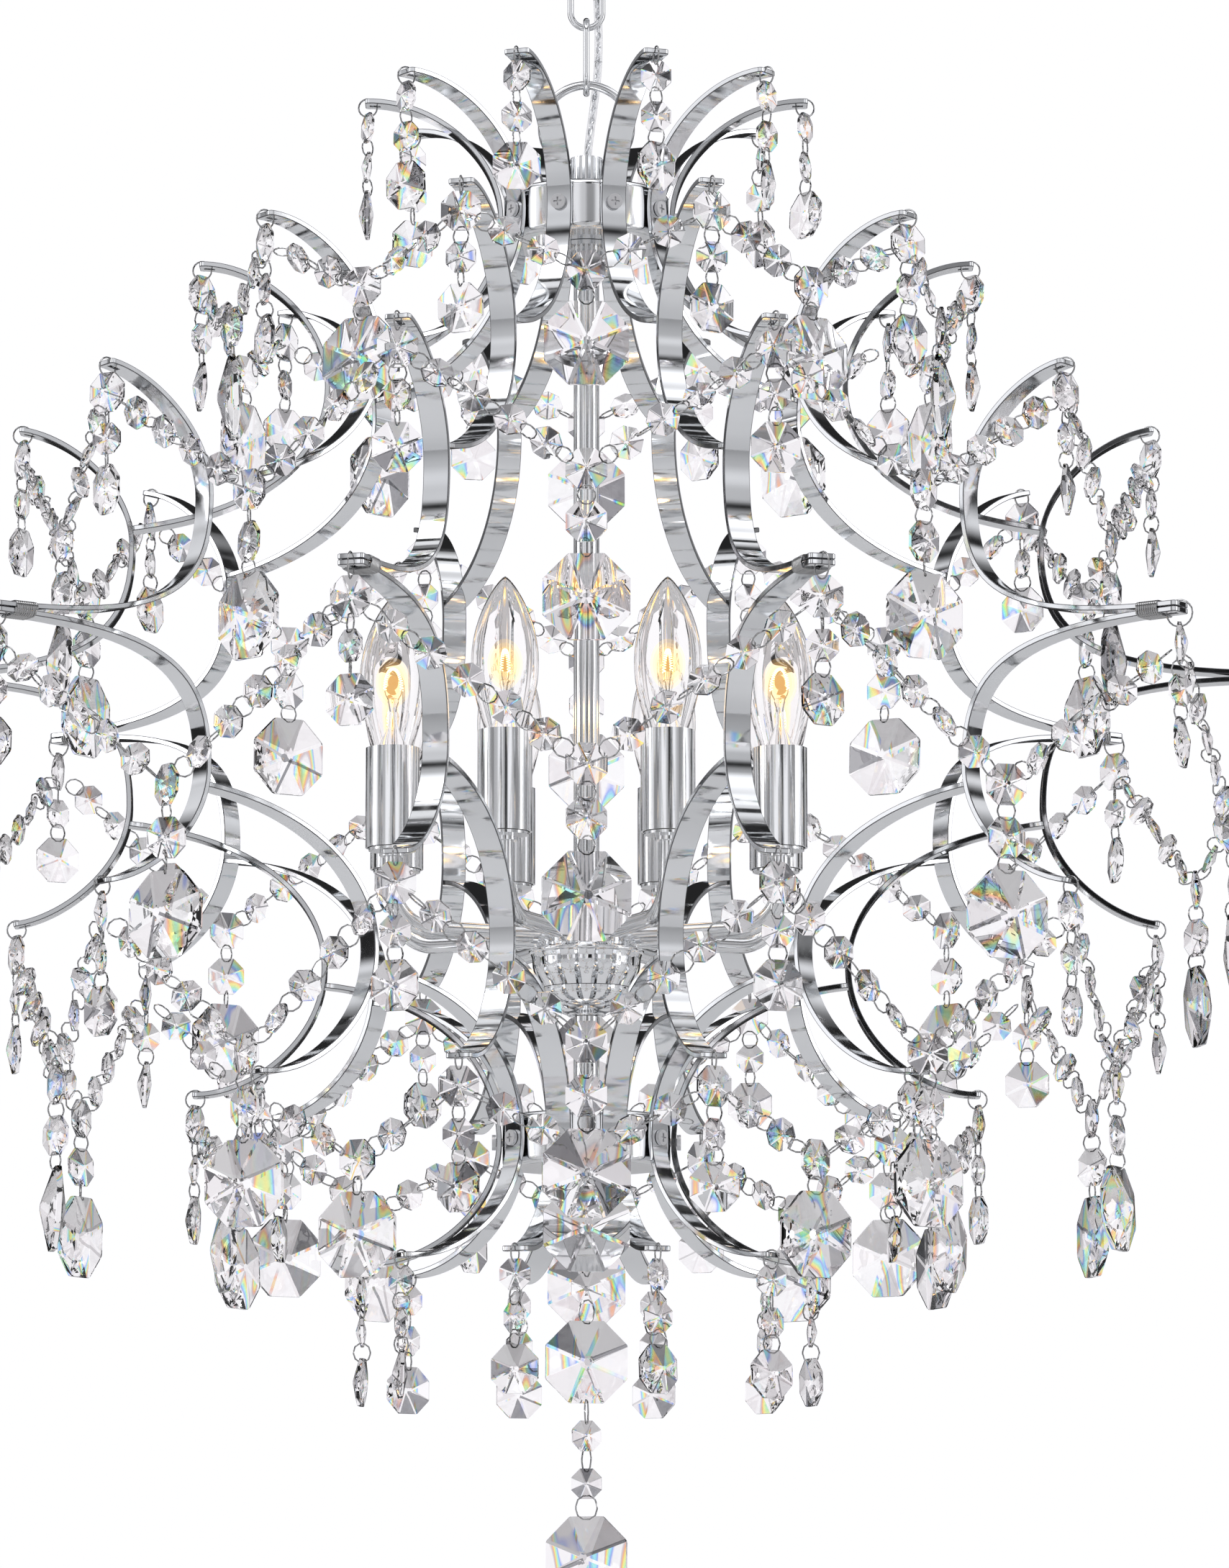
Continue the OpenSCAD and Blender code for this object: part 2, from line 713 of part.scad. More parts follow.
module centre_drop() {
    color("whitesmoke") at_waist() outwards(0) {
        translate([0, 0, hook_z + 1.45 - drop_ring_r]) rotate([90, 0, 0])
            round_ring(drop_ring_r, eye_ring_wire);
        translate([0, 0, drop_z(0)]) eye_octagon(DROP[0][0], DROP[0][1], 3.4);
        for (i = [1 : len(DROP) - 1]) {
            translate([0, 0, drop_z(i)]) octagon(DROP[i][0], DROP[i][1]);
            link_between(drop_z(i - 1) - DROP[i - 1][0] / 2, drop_z(i) + DROP[i][0] / 2);
        }
    }
}

// ---------- nodes ----------

ceiling_canopy();
canopy_crossbar();
canopy_screws();
canopy_loop();
chain_link_upper();
chain_link_lower();
power_cord();
hanging_ring();
ring_cap();
top_hub();
hub_screws();
column_collar();
column_tube();
threaded_rod();
arm_bowl();
bowl_dome();
light_arms();
candle_cups();
lamp_sockets();
lamp_wires();
candle_sleeves();
bulb(1);  // bulb_1
bulb(2);  // bulb_2
bulb(3);  // bulb_3
bulb(4);  // bulb_4
bulb(5);  // bulb_5
bulb(6);  // bulb_6
bulb(7);  // bulb_7
bulb(8);  // bulb_8
bottom_hub();
bottom_finial();
rib(1);  // rib_01
rib(2);  // rib_02
rib(3);  // rib_03
rib(4);  // rib_04
rib(5);  // rib_05
rib(6);  // rib_06
rib(7);  // rib_07
rib(8);  // rib_08
rib(9);  // rib_09
rib(10);  // rib_10
wire_wraps();
crown_pendant(1);  // crown_pendant_01
crown_pendant(2);  // crown_pendant_02
crown_pendant(3);  // crown_pendant_03
crown_pendant(4);  // crown_pendant_04
crown_pendant(5);  // crown_pendant_05
crown_pendant(6);  // crown_pendant_06
crown_pendant(7);  // crown_pendant_07
crown_pendant(8);  // crown_pendant_08
crown_pendant(9);  // crown_pendant_09
crown_pendant(10);  // crown_pendant_10
garland_crown();
garland_shoulder();
garland_waist();
garland_hip();
garland_foot();
tip_pendants();
foot_pendants();
centre_drop();
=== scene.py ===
# %% [markdown]
# # A cage chandelier in chrome and cut glass
#
# A ten-rib cage hangs on two links of chain from a ceiling canopy. Eight candle lamps
# stand inside it, and strings of cut octagons hang from every tip of the ribs.
# The working design is already there as a fixed frame: it says where each part is and
# how it moves. This lesson keeps the parts whose shape is right, gives them a finish,
# and models again the ones that need a finer shape: ribs, crystals, bulbs and cord.
# Everything is in metres, with the middle of the ceiling face at the origin.

# %% Load the frame
import math
import random

import bmesh
import bpy
from mathutils import Matrix, Vector


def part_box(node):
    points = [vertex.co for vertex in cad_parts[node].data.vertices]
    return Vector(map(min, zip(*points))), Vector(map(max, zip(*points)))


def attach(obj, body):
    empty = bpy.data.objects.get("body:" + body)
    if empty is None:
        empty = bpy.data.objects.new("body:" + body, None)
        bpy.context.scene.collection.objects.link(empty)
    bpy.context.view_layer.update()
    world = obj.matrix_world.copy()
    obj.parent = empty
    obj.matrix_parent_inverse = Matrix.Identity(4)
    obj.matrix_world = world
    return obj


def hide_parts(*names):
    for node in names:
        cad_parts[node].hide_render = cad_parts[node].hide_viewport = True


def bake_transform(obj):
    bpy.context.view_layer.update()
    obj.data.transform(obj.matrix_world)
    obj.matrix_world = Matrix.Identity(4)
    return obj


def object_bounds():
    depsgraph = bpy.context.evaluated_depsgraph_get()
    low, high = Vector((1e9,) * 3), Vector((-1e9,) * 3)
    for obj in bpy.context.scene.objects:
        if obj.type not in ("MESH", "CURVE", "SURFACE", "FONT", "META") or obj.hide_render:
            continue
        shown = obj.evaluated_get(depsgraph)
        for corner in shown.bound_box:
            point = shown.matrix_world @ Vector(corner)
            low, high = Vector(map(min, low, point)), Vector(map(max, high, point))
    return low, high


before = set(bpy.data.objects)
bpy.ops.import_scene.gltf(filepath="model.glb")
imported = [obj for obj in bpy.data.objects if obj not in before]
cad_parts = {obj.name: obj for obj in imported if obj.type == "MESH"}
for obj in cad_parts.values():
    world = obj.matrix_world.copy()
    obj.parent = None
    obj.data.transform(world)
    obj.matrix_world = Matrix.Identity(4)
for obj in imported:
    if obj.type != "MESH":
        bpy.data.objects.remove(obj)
CAD_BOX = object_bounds()
MM = 0.001
print("CAD box", [round(v, 4) for corner in CAD_BOX for v in corner])

# %% [markdown]
# The cage is the same above and below its waist, so heights are easiest to give from
# the waist plane. The wraps of wire at the waist are centred on it, and their box in
# the frame says where it is. The rib count follows from the names in the frame.

# %% Where the waist is, and how many ribs there are
wrap_low, wrap_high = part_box("wire_wraps")
WAIST_Z = (wrap_low.z + wrap_high.z) / 2
RIB_COUNT = sum(name.startswith("rib_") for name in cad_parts)
LAMP_COUNT = sum(name.startswith("bulb_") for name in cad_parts)
RIB_STEP = 360 / RIB_COUNT
RIB_TURN = RIB_STEP / 2
LAMP_STEP = 360 / LAMP_COUNT
LAMP_TURN = LAMP_STEP / 2
print("waist at", round(WAIST_Z, 4), "with", RIB_COUNT, "ribs and", LAMP_COUNT, "lamps")

# %% [markdown]
# The camera stands more than three metres off with a long lens, a little below the
# chandelier, as a person looks up at it. A long lens keeps the front and the back of
# the cage nearly the same size. A tiny sideways shift frames it without turning it.

# %% Camera
def add_object(name, data):
    obj = bpy.data.objects.new(name, data)
    bpy.context.scene.collection.objects.link(obj)
    return obj


CAMERA_DISTANCE = 3.214
CAMERA_RISE = math.radians(-8.49)
AIM = Vector((0, 0, WAIST_Z - 0.0506))

camera_data = bpy.data.cameras.new("studio_camera")
camera_data.lens = 157.7
camera_data.sensor_width = 36
camera_data.shift_x = 0.0179
camera = add_object("studio_camera", camera_data)
back = Vector((0, -math.cos(CAMERA_RISE), math.sin(CAMERA_RISE)))
camera.location = AIM + back * CAMERA_DISTANCE
camera.rotation_mode = "QUATERNION"
camera.rotation_quaternion = (-back).to_track_quat("-Z", "Y")
bpy.context.scene.camera = camera
print("camera at", [round(v, 3) for v in camera.location])

# %% [markdown]
# These helpers turn a bmesh into a finished object. A bmesh is Blender's mesh in a form
# that its modelling operators work on. `finish_mesh` gives the object its material and
# its shading. Faces are smooth where the shape is round, and an angle says where an
# edge is sharp: at 0 every facet is flat, which is what cut glass needs. `belongs` ties
# the object to the frame: the body it moves with, and the part it replaces, which it hides.

# %% Helpers: from a bmesh to an object
def finish_mesh(bm, name, material, smooth_angle=35):
    """The object made from bm, in its place, with its material and its shading."""
    mesh = bpy.data.meshes.new(name)
    bm.to_mesh(mesh)
    bm.free()
    if smooth_angle:
        mesh.shade_smooth()
        mesh.set_sharp_from_angle(angle=math.radians(smooth_angle))
    mesh.materials.append(material)
    return add_object(name, mesh)


def belongs(piece, body, node):
    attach(piece, body)
    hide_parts(node)


def template(bm, name):
    """A mesh that is only copied into others."""
    mesh = bpy.data.meshes.new(name)
    bm.to_mesh(mesh)
    bm.free()
    return mesh


def add_copy(bm, source, matrix):
    """Adds a copy of a template to bm, in the place that matrix gives, and returns its faces."""
    first_vert = len(bm.verts)
    first_face = len(bm.faces)
    bm.from_mesh(source)
    bm.verts.ensure_lookup_table()
    bm.faces.ensure_lookup_table()
    bmesh.ops.transform(bm, matrix=matrix, verts=bm.verts[first_vert:])
    return bm.faces[first_face:]


# %% [markdown]
# Places in the cage are easiest to say as a turn about the axis, a radius and a height.
# `outward` turns a piece so that its own +X points outwards at an angle counted from
# the front. Multiplied together, such matrices carry a crystal to its tip.

# %% Helpers: places in the cage
def move(x, y, z):
    """A shift, in millimetres."""
    return Matrix.Translation(Vector((x, y, z)) * MM)


def turn(degrees, axis):
    return Matrix.Rotation(math.radians(degrees), 4, axis)


def outward(angle):
    """At the waist, with +X pointing outwards at that angle from the front."""
    return Matrix.Translation((0, 0, WAIST_Z)) @ turn(angle - 90, "Z")


def at_waist(points):
    """Points in millimetres about the waist, as points in the frame."""
    return [Vector(p) * MM + Vector((0, 0, WAIST_Z)) for p in points]


# %% [markdown]
# Wire, cord and tube are all one shape: a circle that travels along a line. The
# operator for it is extrude. A circle is made at the line's start, its edges are
# extruded, and the new edges are carried to the next point and turned into line with
# it. Each turn is as small as it can be, so the tube doesn't twist. A closed ring ends
# with a bridge from the last circle to the first.

# %% Helper: a round bar along a line
def sections(line, closed):
    """One matrix for each point: its +Z runs along the line."""
    count = len(line)
    across = None
    made = []
    for i, here in enumerate(line):
        before = line[(i - 1) % count] if closed else line[max(i - 1, 0)]
        after = line[(i + 1) % count] if closed else line[min(i + 1, count - 1)]
        way = (after - before).normalized()
        across = way.orthogonal() if across is None else across - way * across.dot(way)
        across.normalize()
        side = way.cross(across)
        columns = Matrix((across, side, way)).transposed().to_4x4()
        made.append(Matrix.Translation(here) @ columns)
    return made


def sweep(bm, line, diameter, sides=12, closed=False):
    """A round bar of that diameter along the line's points."""
    places = sections(line, closed)
    circle = bmesh.ops.create_circle(bm, segments=sides, radius=diameter / 2)["verts"]
    bmesh.ops.transform(bm, matrix=places[0], verts=circle)
    start = list({edge for vert in circle for edge in vert.link_edges})
    edges = start
    faces = []
    for here, there in zip(places, places[1:]):
        made = bmesh.ops.extrude_edge_only(bm, edges=edges)["geom"]
        verts = {g for g in made if isinstance(g, bmesh.types.BMVert)}
        bmesh.ops.transform(bm, matrix=there @ here.inverted(), verts=list(verts))
        edges = [g for g in made if isinstance(g, bmesh.types.BMEdge) and verts.issuperset(g.verts)]
        faces += [g for g in made if isinstance(g, bmesh.types.BMFace)]
    if closed:
        faces += bmesh.ops.bridge_loops(bm, edges=start + edges)["faces"]
    else:
        faces += bmesh.ops.edgeloop_fill(bm, edges=start)["faces"]
        faces += bmesh.ops.edgeloop_fill(bm, edges=edges)["faces"]
    bmesh.ops.recalc_face_normals(bm, faces=faces)


def smooth_line(points, steps):
    """A smooth line through the points, with that many steps from each to the next."""
    last = len(points) - 1
    line = []
    for i in range(last):
        a, b, c, d = points[max(i - 1, 0)], points[i], points[i + 1], points[min(i + 2, last)]
        for k in range(steps):
            t = k / steps
            bend = (2 * a - 5 * b + 4 * c - d) * t**2 + (3 * b - a - 3 * c + d) * t**3
            line.append(0.5 * (2 * b + (c - a) * t + bend))
    return line + [points[last]]


# %% [markdown]
# ## The finishes
# Chrome plate is a mirror, so almost all of its look comes from the room. What a plain
# mirror lacks is the work of the polishing wheel: the surface is very slightly wavy,
# and its gloss changes from place to place. Two noises do that. A large one tips the
# surface a little through a Bump, and a finer one moves the roughness between two
# values. Both read Object coordinates, so the pattern stays on the metal.

# %% Helpers for materials
def new_material(name):
    """A material, its node tree and its shader."""
    material = bpy.data.materials.new(name)
    material.use_nodes = True
    tree = material.node_tree
    return material, tree, tree.nodes["Principled BSDF"]


def noise_node(tree, scale, detail=2.0, stretch=None):
    """A noise on Object coordinates, stretched along an axis if asked."""
    where = tree.nodes.new("ShaderNodeTexCoord").outputs["Object"]
    if stretch:
        mapping = tree.nodes.new("ShaderNodeMapping")
        mapping.inputs["Scale"].default_value = stretch
        tree.links.new(where, mapping.inputs["Vector"])
        where = mapping.outputs["Vector"]
    texture = tree.nodes.new("ShaderNodeTexNoise")
    texture.inputs["Scale"].default_value = scale
    texture.inputs["Detail"].default_value = detail
    tree.links.new(where, texture.inputs["Vector"])
    return texture.outputs["Fac"]


def math_node(tree, operation, value, number=None):
    """A node that works on a value and, where it needs one, on a number."""
    node = tree.nodes.new("ShaderNodeMath")
    node.operation = operation
    tree.links.new(value, node.inputs[0])
    if number is not None:
        node.inputs[1].default_value = number
    return node


def ranged(tree, value, from_low, from_high, low, high, kind="LINEAR"):
    """Maps one range of a value to another and returns the result's socket."""
    node = tree.nodes.new("ShaderNodeMapRange")
    node.interpolation_type = kind
    node.inputs["From Min"].default_value = from_low
    node.inputs["From Max"].default_value = from_high
    node.inputs["To Min"].default_value = low
    node.inputs["To Max"].default_value = high
    tree.links.new(value, node.inputs["Value"])
    return node.outputs["Result"]


NOISE_LOW, NOISE_HIGH = 0.3, 0.7


def vary(tree, value, socket, low, high):
    """Maps a noise to the range low to high and links it to a socket."""
    tree.links.new(ranged(tree, value, NOISE_LOW, NOISE_HIGH, low, high), socket)


def mixed(tree, factor, first, second):
    """Mixes two colours, each a socket or three numbers, and returns the result's socket."""
    mix = tree.nodes.new("ShaderNodeMix")
    mix.data_type = "RGBA"
    for name, value in (("A", first), ("B", second), ("Factor", factor)):
        if isinstance(value, bpy.types.NodeSocket):
            tree.links.new(value, mix.inputs[name])
        else:
            mix.inputs[name].default_value = (*value, 1) if isinstance(value, tuple) else value
    return mix.outputs["Result"]


def blend_colours(tree, value, socket, first, second):
    """Mixes two colours by a value and links the result to a socket."""
    tree.links.new(mixed(tree, value, first, second), socket)


def ramp(tree, value, stops, kind="LINEAR"):
    """Looks up a colour by a value: each stop is a position and a colour."""
    node = tree.nodes.new("ShaderNodeValToRGB")
    elements = node.color_ramp.elements
    node.color_ramp.interpolation = kind
    elements[0].color = (*stops[0][1], 1)
    elements[1].position = stops[-1][0]
    elements[1].color = (*stops[-1][1], 1)
    for position, colour in stops[1:-1]:
        elements.new(position).color = (*colour, 1)
    tree.links.new(value, node.inputs["Fac"])
    return node.outputs["Color"]


def add_bump(tree, shader, height, strength, distance):
    bump = tree.nodes.new("ShaderNodeBump")
    bump.inputs["Strength"].default_value = strength
    bump.inputs["Distance"].default_value = distance
    tree.links.new(height, bump.inputs["Height"])
    tree.links.new(bump.outputs["Normal"], shader.inputs["Normal"])


def plated_metal(name, first, second, roughness, wave, wave_scale=45):
    """A plated metal: two close colours, a range of roughness and a slight wave."""
    material, tree, shader = new_material(name)
    shader.inputs["Metallic"].default_value = 1
    blend_colours(tree, noise_node(tree, 20), shader.inputs["Base Color"], first, second)
    vary(tree, noise_node(tree, 160, 6), shader.inputs["Roughness"], *roughness)
    add_bump(tree, shader, noise_node(tree, wave_scale, 3), wave, 0.001)
    return material


# %% Metals
CHROME = plated_metal("chrome", (0.80, 0.81, 0.83), (0.90, 0.91, 0.92), (0.02, 0.07), 0.05)
RIB_CHROME = plated_metal("rib_chrome", (0.76, 0.78, 0.80), (0.88, 0.89, 0.90), (0.03, 0.10), 0.02, 16)
# Painted dark reflection: the rib bevels get a near-black chrome that stands in for the dark parts of the
# room they mirror.
DARK_EDGE_PAINTED_REFLECTION = plated_metal("dark_edge_painted_reflection", (0.10, 0.10, 0.11), (0.22, 0.22, 0.23), (0.08, 0.20), 0.05)
WIRE_CHROME = plated_metal("wire_chrome", (0.30, 0.30, 0.30), (0.46, 0.46, 0.46), (0.05, 0.14), 0.05)
ZINC = plated_metal("zinc_steel", (0.52, 0.53, 0.55), (0.66, 0.67, 0.68), (0.25, 0.42), 0.2, 300)
SCREW_STEEL = plated_metal("screw_steel", (0.84, 0.85, 0.86), (0.92, 0.92, 0.93), (0.20, 0.32), 0.06)
BRASS = plated_metal("base_brass", (0.80, 0.66, 0.38), (0.88, 0.75, 0.48), (0.18, 0.32), 0.1, 200)
print("metals made")

# %% [markdown]
# The sockets and the wires' covering are moulded plastic. Plastic is never quite one
# colour: it has faint clouds, and a fine grain that breaks up its shine.

# %% Plastics
def moulded_plastic(name, first, second, roughness):
    material, tree, shader = new_material(name)
    blend_colours(tree, noise_node(tree, 60, 4), shader.inputs["Base Color"], first, second)
    vary(tree, noise_node(tree, 400, 4), shader.inputs["Roughness"], *roughness)
    add_bump(tree, shader, noise_node(tree, 1500, 3), 0.1, 0.0003)
    return material


SOCKET_PLASTIC = moulded_plastic("socket_plastic", (0.78, 0.75, 0.66), (0.84, 0.81, 0.73), (0.35, 0.5))
INSULATION = moulded_plastic("wire_insulation", (0.80, 0.80, 0.78), (0.87, 0.87, 0.85), (0.4, 0.55))

# %% [markdown]
# Cut crystal is clear glass that bends light hard, so each facet shows another bit of
# the room. Real crystal also splits white light into colours, and a path tracer's plain
# glass doesn't. Each facet of every crystal is given a random number of its own, in an
# attribute named `facet`. The material paints light and shade into the glass's colour
# with it. Most facets stay clear, with a breath of painted pink for split light and of
# painted grey for shade. A few are painted dark as a painted dark reflection, and a few
# get painted bands of rainbow colour for the split light. The bands come from a noise
# that is stretched upright, so that they run side by side.

# %% Crystal
# Painted light in the crystal: the dark and grey stops paint dark reflections on some facets, the pink
# paints a hint of split light, and the hues paint rainbow bands of split light.
CLEAR_AND_PAINTED_SHADE_TINTS = [(0, (0.10, 0.10, 0.11)), (0.045, (0.48, 0.46, 0.47)), (0.10, (0.84, 0.80, 0.81)),
               (0.24, (0.96, 0.93, 0.94)), (0.42, (1.0, 0.99, 0.99))]
PAINTED_RAINBOW_HUES = [(0, (0.96, 0.94, 0.95)), (0.26, (0.96, 0.94, 0.95)), (0.35, (0.12, 0.20, 0.90)),
        (0.43, (0.18, 0.80, 0.90)), (0.50, (0.35, 0.90, 0.25)), (0.57, (1.0, 0.84, 0.10)),
        (0.64, (0.95, 0.25, 0.08)), (0.72, (0.45, 0.38, 0.42)), (0.81, (0.98, 0.97, 0.97)),
        (1, (0.95, 0.94, 0.95))]
PAINTED_RAINBOW_SWEEP = 3.2


def crystal_material():
    material, tree, shader = new_material("crystal")
    shader.inputs["Transmission Weight"].default_value = 1
    shader.inputs["Roughness"].default_value = 0
    shader.inputs["IOR"].default_value = 1.56
    attribute = tree.nodes.new("ShaderNodeAttribute")
    attribute.attribute_name = "facet"
    facet = attribute.outputs["Fac"]
    # Painted shade: this ramp paints a few facets dark or grey as dark reflections, and the ramp below
    # paints rainbow bands of split light.
    clear = ramp(tree, facet, CLEAR_AND_PAINTED_SHADE_TINTS, "CONSTANT")
    painted_rainbow_bands = math_node(tree, "MULTIPLY_ADD", noise_node(tree, 90, 0, (1, 1, 0.22)), PAINTED_RAINBOW_SWEEP)
    tree.links.new(facet, painted_rainbow_bands.inputs[2])
    painted_rainbow = ramp(tree, math_node(tree, "FRACT", painted_rainbow_bands.outputs[0]).outputs[0], PAINTED_RAINBOW_HUES)
    chosen = ranged(tree, facet, 0.79, 0.82, 0, 1)
    tree.links.new(mixed(tree, chosen, clear, painted_rainbow), shader.inputs["Base Color"])
    return material


CRYSTAL = crystal_material()

# %% [markdown]
# The lamp's glass is thin and clear. The cord has a clear vinyl jacket over two tinned
# strands. The filament glows, and a soft warm light hangs about it. Against a white room
# light alone can't be seen, so the glow also takes a little blue from what is behind it.
# It is five nested shells, which add up to more where the eye looks through them all.

# %% Glass, clear vinyl and glow
def clear_material(name, first, second, roughness, ior, transmission=1.0):
    material, tree, shader = new_material(name)
    shader.inputs["Transmission Weight"].default_value = transmission
    shader.inputs["IOR"].default_value = ior
    blend_colours(tree, noise_node(tree, 80, 3), shader.inputs["Base Color"], first, second)
    vary(tree, noise_node(tree, 200, 4), shader.inputs["Roughness"], *roughness)
    return material


def glow_material(name, colour, strength, see_through):
    """Light with nothing else, or, where see_through has a colour, light over tinted air."""
    material, tree, shader = new_material(name)
    light = tree.nodes.new("ShaderNodeEmission")
    light.inputs["Strength"].default_value = strength
    blend_colours(tree, noise_node(tree, 300, 2), light.inputs["Color"], colour, (1, 0.72, 0.38))
    tree.nodes.remove(shader)
    surface = light.outputs[0]
    if see_through:
        both = tree.nodes.new("ShaderNodeAddShader")
        clear = tree.nodes.new("ShaderNodeBsdfTransparent")
        clear.inputs["Color"].default_value = (*see_through, 1)
        tree.links.new(light.outputs[0], both.inputs[0])
        tree.links.new(clear.outputs[0], both.inputs[1])
        surface = both.outputs[0]
    tree.links.new(surface, tree.nodes["Material Output"].inputs["Surface"])
    return material


BULB_GLASS = clear_material("bulb_glass", (0.99, 0.97, 0.965), (1, 1, 1), (0, 0.01), 1.14)
CLEAR_VINYL = clear_material("clear_cord", (0.90, 0.90, 0.91), (0.97, 0.97, 0.97), (0.05, 0.15), 1.3, 0.9)
FILAMENT = glow_material("filament", (1, 0.60, 0.26), 6, None)
GLOW = glow_material("lamp_glow", (1, 0.56, 0.22), 0.085, (1, 0.975, 0.91))
print(len(bpy.data.materials), "materials in all")

# %% [markdown]
# ## The supply cord
# Current comes down a clear two-core cord, from the loop's stem beside the chain to the
# cap on the cage. It is one cord on the real thing. The chain has three hinges here, so
# the cord is made in three stretches that meet end to end, and each bends softly from
# one body to the next. The route is a short list of points, the same as in the design.

# %% Route of the cord
CORD_D = 3.8
CORD = at_waist([
    (4.5, 4.5, 364), (4.5, 4.5, 356), (4.6, 4.6, 347), (4.8, 4.8, 338), (5.2, 5, 328),
    (5.6, 5.2, 318), (5.8, 5.4, 308), (5.6, 5.6, 298), (4.9, 5.6, 288), (3.6, 5.4, 277),
    (2.2, 5.1, 266), (1, 4.8, 256), (0.4, 4.6, 248), (0.2, 4.6, 242), (0.2, 4.6, 237),
])
CORD_STEPS = 6
cord_line = smooth_line(CORD, CORD_STEPS)


def line_length(line):
    return sum((b - a).length for a, b in zip(line, line[1:]))


print("cord is", round(line_length(cord_line), 4), "m long")

# %% [markdown]
# Inside the jacket, two tinned strands wind about each other. Each is a wire swept
# along a helix round the cord's line: `sections` gives the line's own left and right,
# and the strand circles in them.

# %% Cord
STRAND_D = 1.1
STRAND_PITCH = 11


def strand_line(line, phase):
    """A helix round a line."""
    travelled = 0
    points = []
    for i, place in enumerate(sections(line, False)):
        travelled += (line[i] - line[i - 1]).length if i else 0
        angle = phase + 2 * math.pi * travelled / (STRAND_PITCH * MM)
        reach = STRAND_D * 0.55 * MM
        points.append(place @ Vector((reach * math.cos(angle), reach * math.sin(angle), 0)))
    return points


def cord_stretch(name, first, last):
    """One stretch of cord, from one point of the route to another."""
    line = cord_line[first * CORD_STEPS : last * CORD_STEPS + 1]
    jacket = bmesh.new()
    sweep(jacket, line, CORD_D * MM, 20)
    jacket = finish_mesh(jacket, name + "_jacket", CLEAR_VINYL)
    cores = bmesh.new()
    for phase in (0, math.pi):
        sweep(cores, strand_line(line, phase), STRAND_D * MM, 8)
    cores = finish_mesh(cores, name + "_strands", CHROME)
    for piece in (jacket, cores):
        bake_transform(piece)
        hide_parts("power_cord")
    print(name, round(line_length(line), 4))


cord_stretch("cord_top", 0, 4)
cord_stretch("cord_middle", 4, 7)
cord_stretch("cord_foot", 7, 14)

# %% [markdown]
# ## Parts that keep their shape
# Chain, ring, hubs, column, arms, cups and sleeves are exact in the frame, with many
# fine facets and true normals. They only need their finish, so each gets one of the
# materials above in its slots. Their meshes aren't touched.

# %% Finish the parts that stay
FINISHES = {
    "chrome": ["canopy_loop", "chain_link_upper", "chain_link_lower", "hanging_ring", "ring_cap",
               "top_hub", "bottom_hub", "column_collar", "column_tube", "light_arms",
               "candle_cups", "candle_sleeves", "bottom_finial"],
    "zinc_steel": ["canopy_crossbar", "canopy_screws", "threaded_rod"],
    "screw_steel": ["hub_screws"],
    "socket_plastic": ["lamp_sockets"],
    "wire_insulation": ["lamp_wires"],
}
for finish, names in FINISHES.items():
    for name in names:
        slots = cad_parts[name].data.materials
        slots.clear()
        slots.append(bpy.data.materials[finish])
print(sum(len(names) for names in FINISHES.values()), "parts finished")

# %% [markdown]
# ## The ribs
# A rib is six crescents of flat bar, and each crescent is drawn by two Bezier curves
# that share a point at its bulge. The lower three mirror the upper three. Such a bar
# could be a curve object with a rectangle for its section, but the slot at each tip
# would then have to be cut out. Here the bar's middle line is extruded sideways into a
# ribbon, the ribbon's slot is cut with `bisect_plane`, and a Solidify modifier gives it
# its thickness, so the slot gets its walls for nothing. A Bevel rounds the long edges
# and gives them a near-black chrome, which is a painted dark reflection. It stands in
# for the dark parts of a room that the narrow rounding mirrors, and it draws a fine dark
# line along each side of the bar.

# %% Outline of a crescent
BAR_W = 12
BAR_T = 2.4
BRIDGE_W = 2.4
SLOT_W = 2.4
BAR_MID_R = 40.5
HUB_Z = 219
WAIST_R = 325
PAIR_GAP = BAR_T / 2 + 0.1
# Radius and height of a tip, two handles, the bulge, two handles and the foot
CROWN = [(105, 276), (72, 277), (BAR_MID_R, 250), (BAR_MID_R, HUB_Z),
         (BAR_MID_R, 185), (65, 152), (122, 146)]
SHOULDER = [(183, 197), (156, 198), (122, 172), (122, 138), (122, 108), (148, 78), (213.6, 70)]
WAIST = [(267, 117.5), (243, 114.5), (213.5, 90), (213.5, 62),
         (213.5, 20), (232, PAIR_GAP), (WAIST_R, PAIR_GAP)]
CURVE_STEPS = 26


def bezier(points, t):
    a, b, c, d = (Vector(p) for p in points)
    return a * (1 - t) ** 3 + 3 * b * t * (1 - t) ** 2 + 3 * c * t**2 * (1 - t) + d * t**3


def crescent_line(points):
    """The middle line of a crescent, as radius and height."""
    upper = [bezier(points[:4], k / CURVE_STEPS) for k in range(CURVE_STEPS)]
    lower = [bezier(points[3:], k / CURVE_STEPS) for k in range(CURVE_STEPS + 1)]
    return upper + lower


# %% One crescent as a ribbon
CORNER_R = 1.6
TIP_REACH = 16


def cut_slot(bm, faces, tip_r, length):
    """A slot through the ribbon near its end, which leaves a bridge for a ring."""
    walls = [(tip_r - BRIDGE_W, 0), (tip_r - BRIDGE_W - length, 0), (0, SLOT_W / 2), (0, -SLOT_W / 2)]
    for along, side in walls:
        geometry = list({g for f in faces for g in (*f.verts, *f.edges, f)})
        point = (along * MM, side * MM, 0)
        normal = (1, 0, 0) if along else (0, 1, 0)
        cut = bmesh.ops.bisect_plane(bm, geom=geometry, dist=1e-6, plane_co=point, plane_no=normal)
        faces = list({g for g in cut["geom"] if isinstance(g, bmesh.types.BMFace)})
    inner = (tip_r - BRIDGE_W - length) * MM
    hole = [f for f in faces if abs(f.calc_center_median().y) < SLOT_W / 2 * MM
            and inner < f.calc_center_median().x < (tip_r - BRIDGE_W) * MM]
    bmesh.ops.delete(bm, geom=hole, context="FACES")


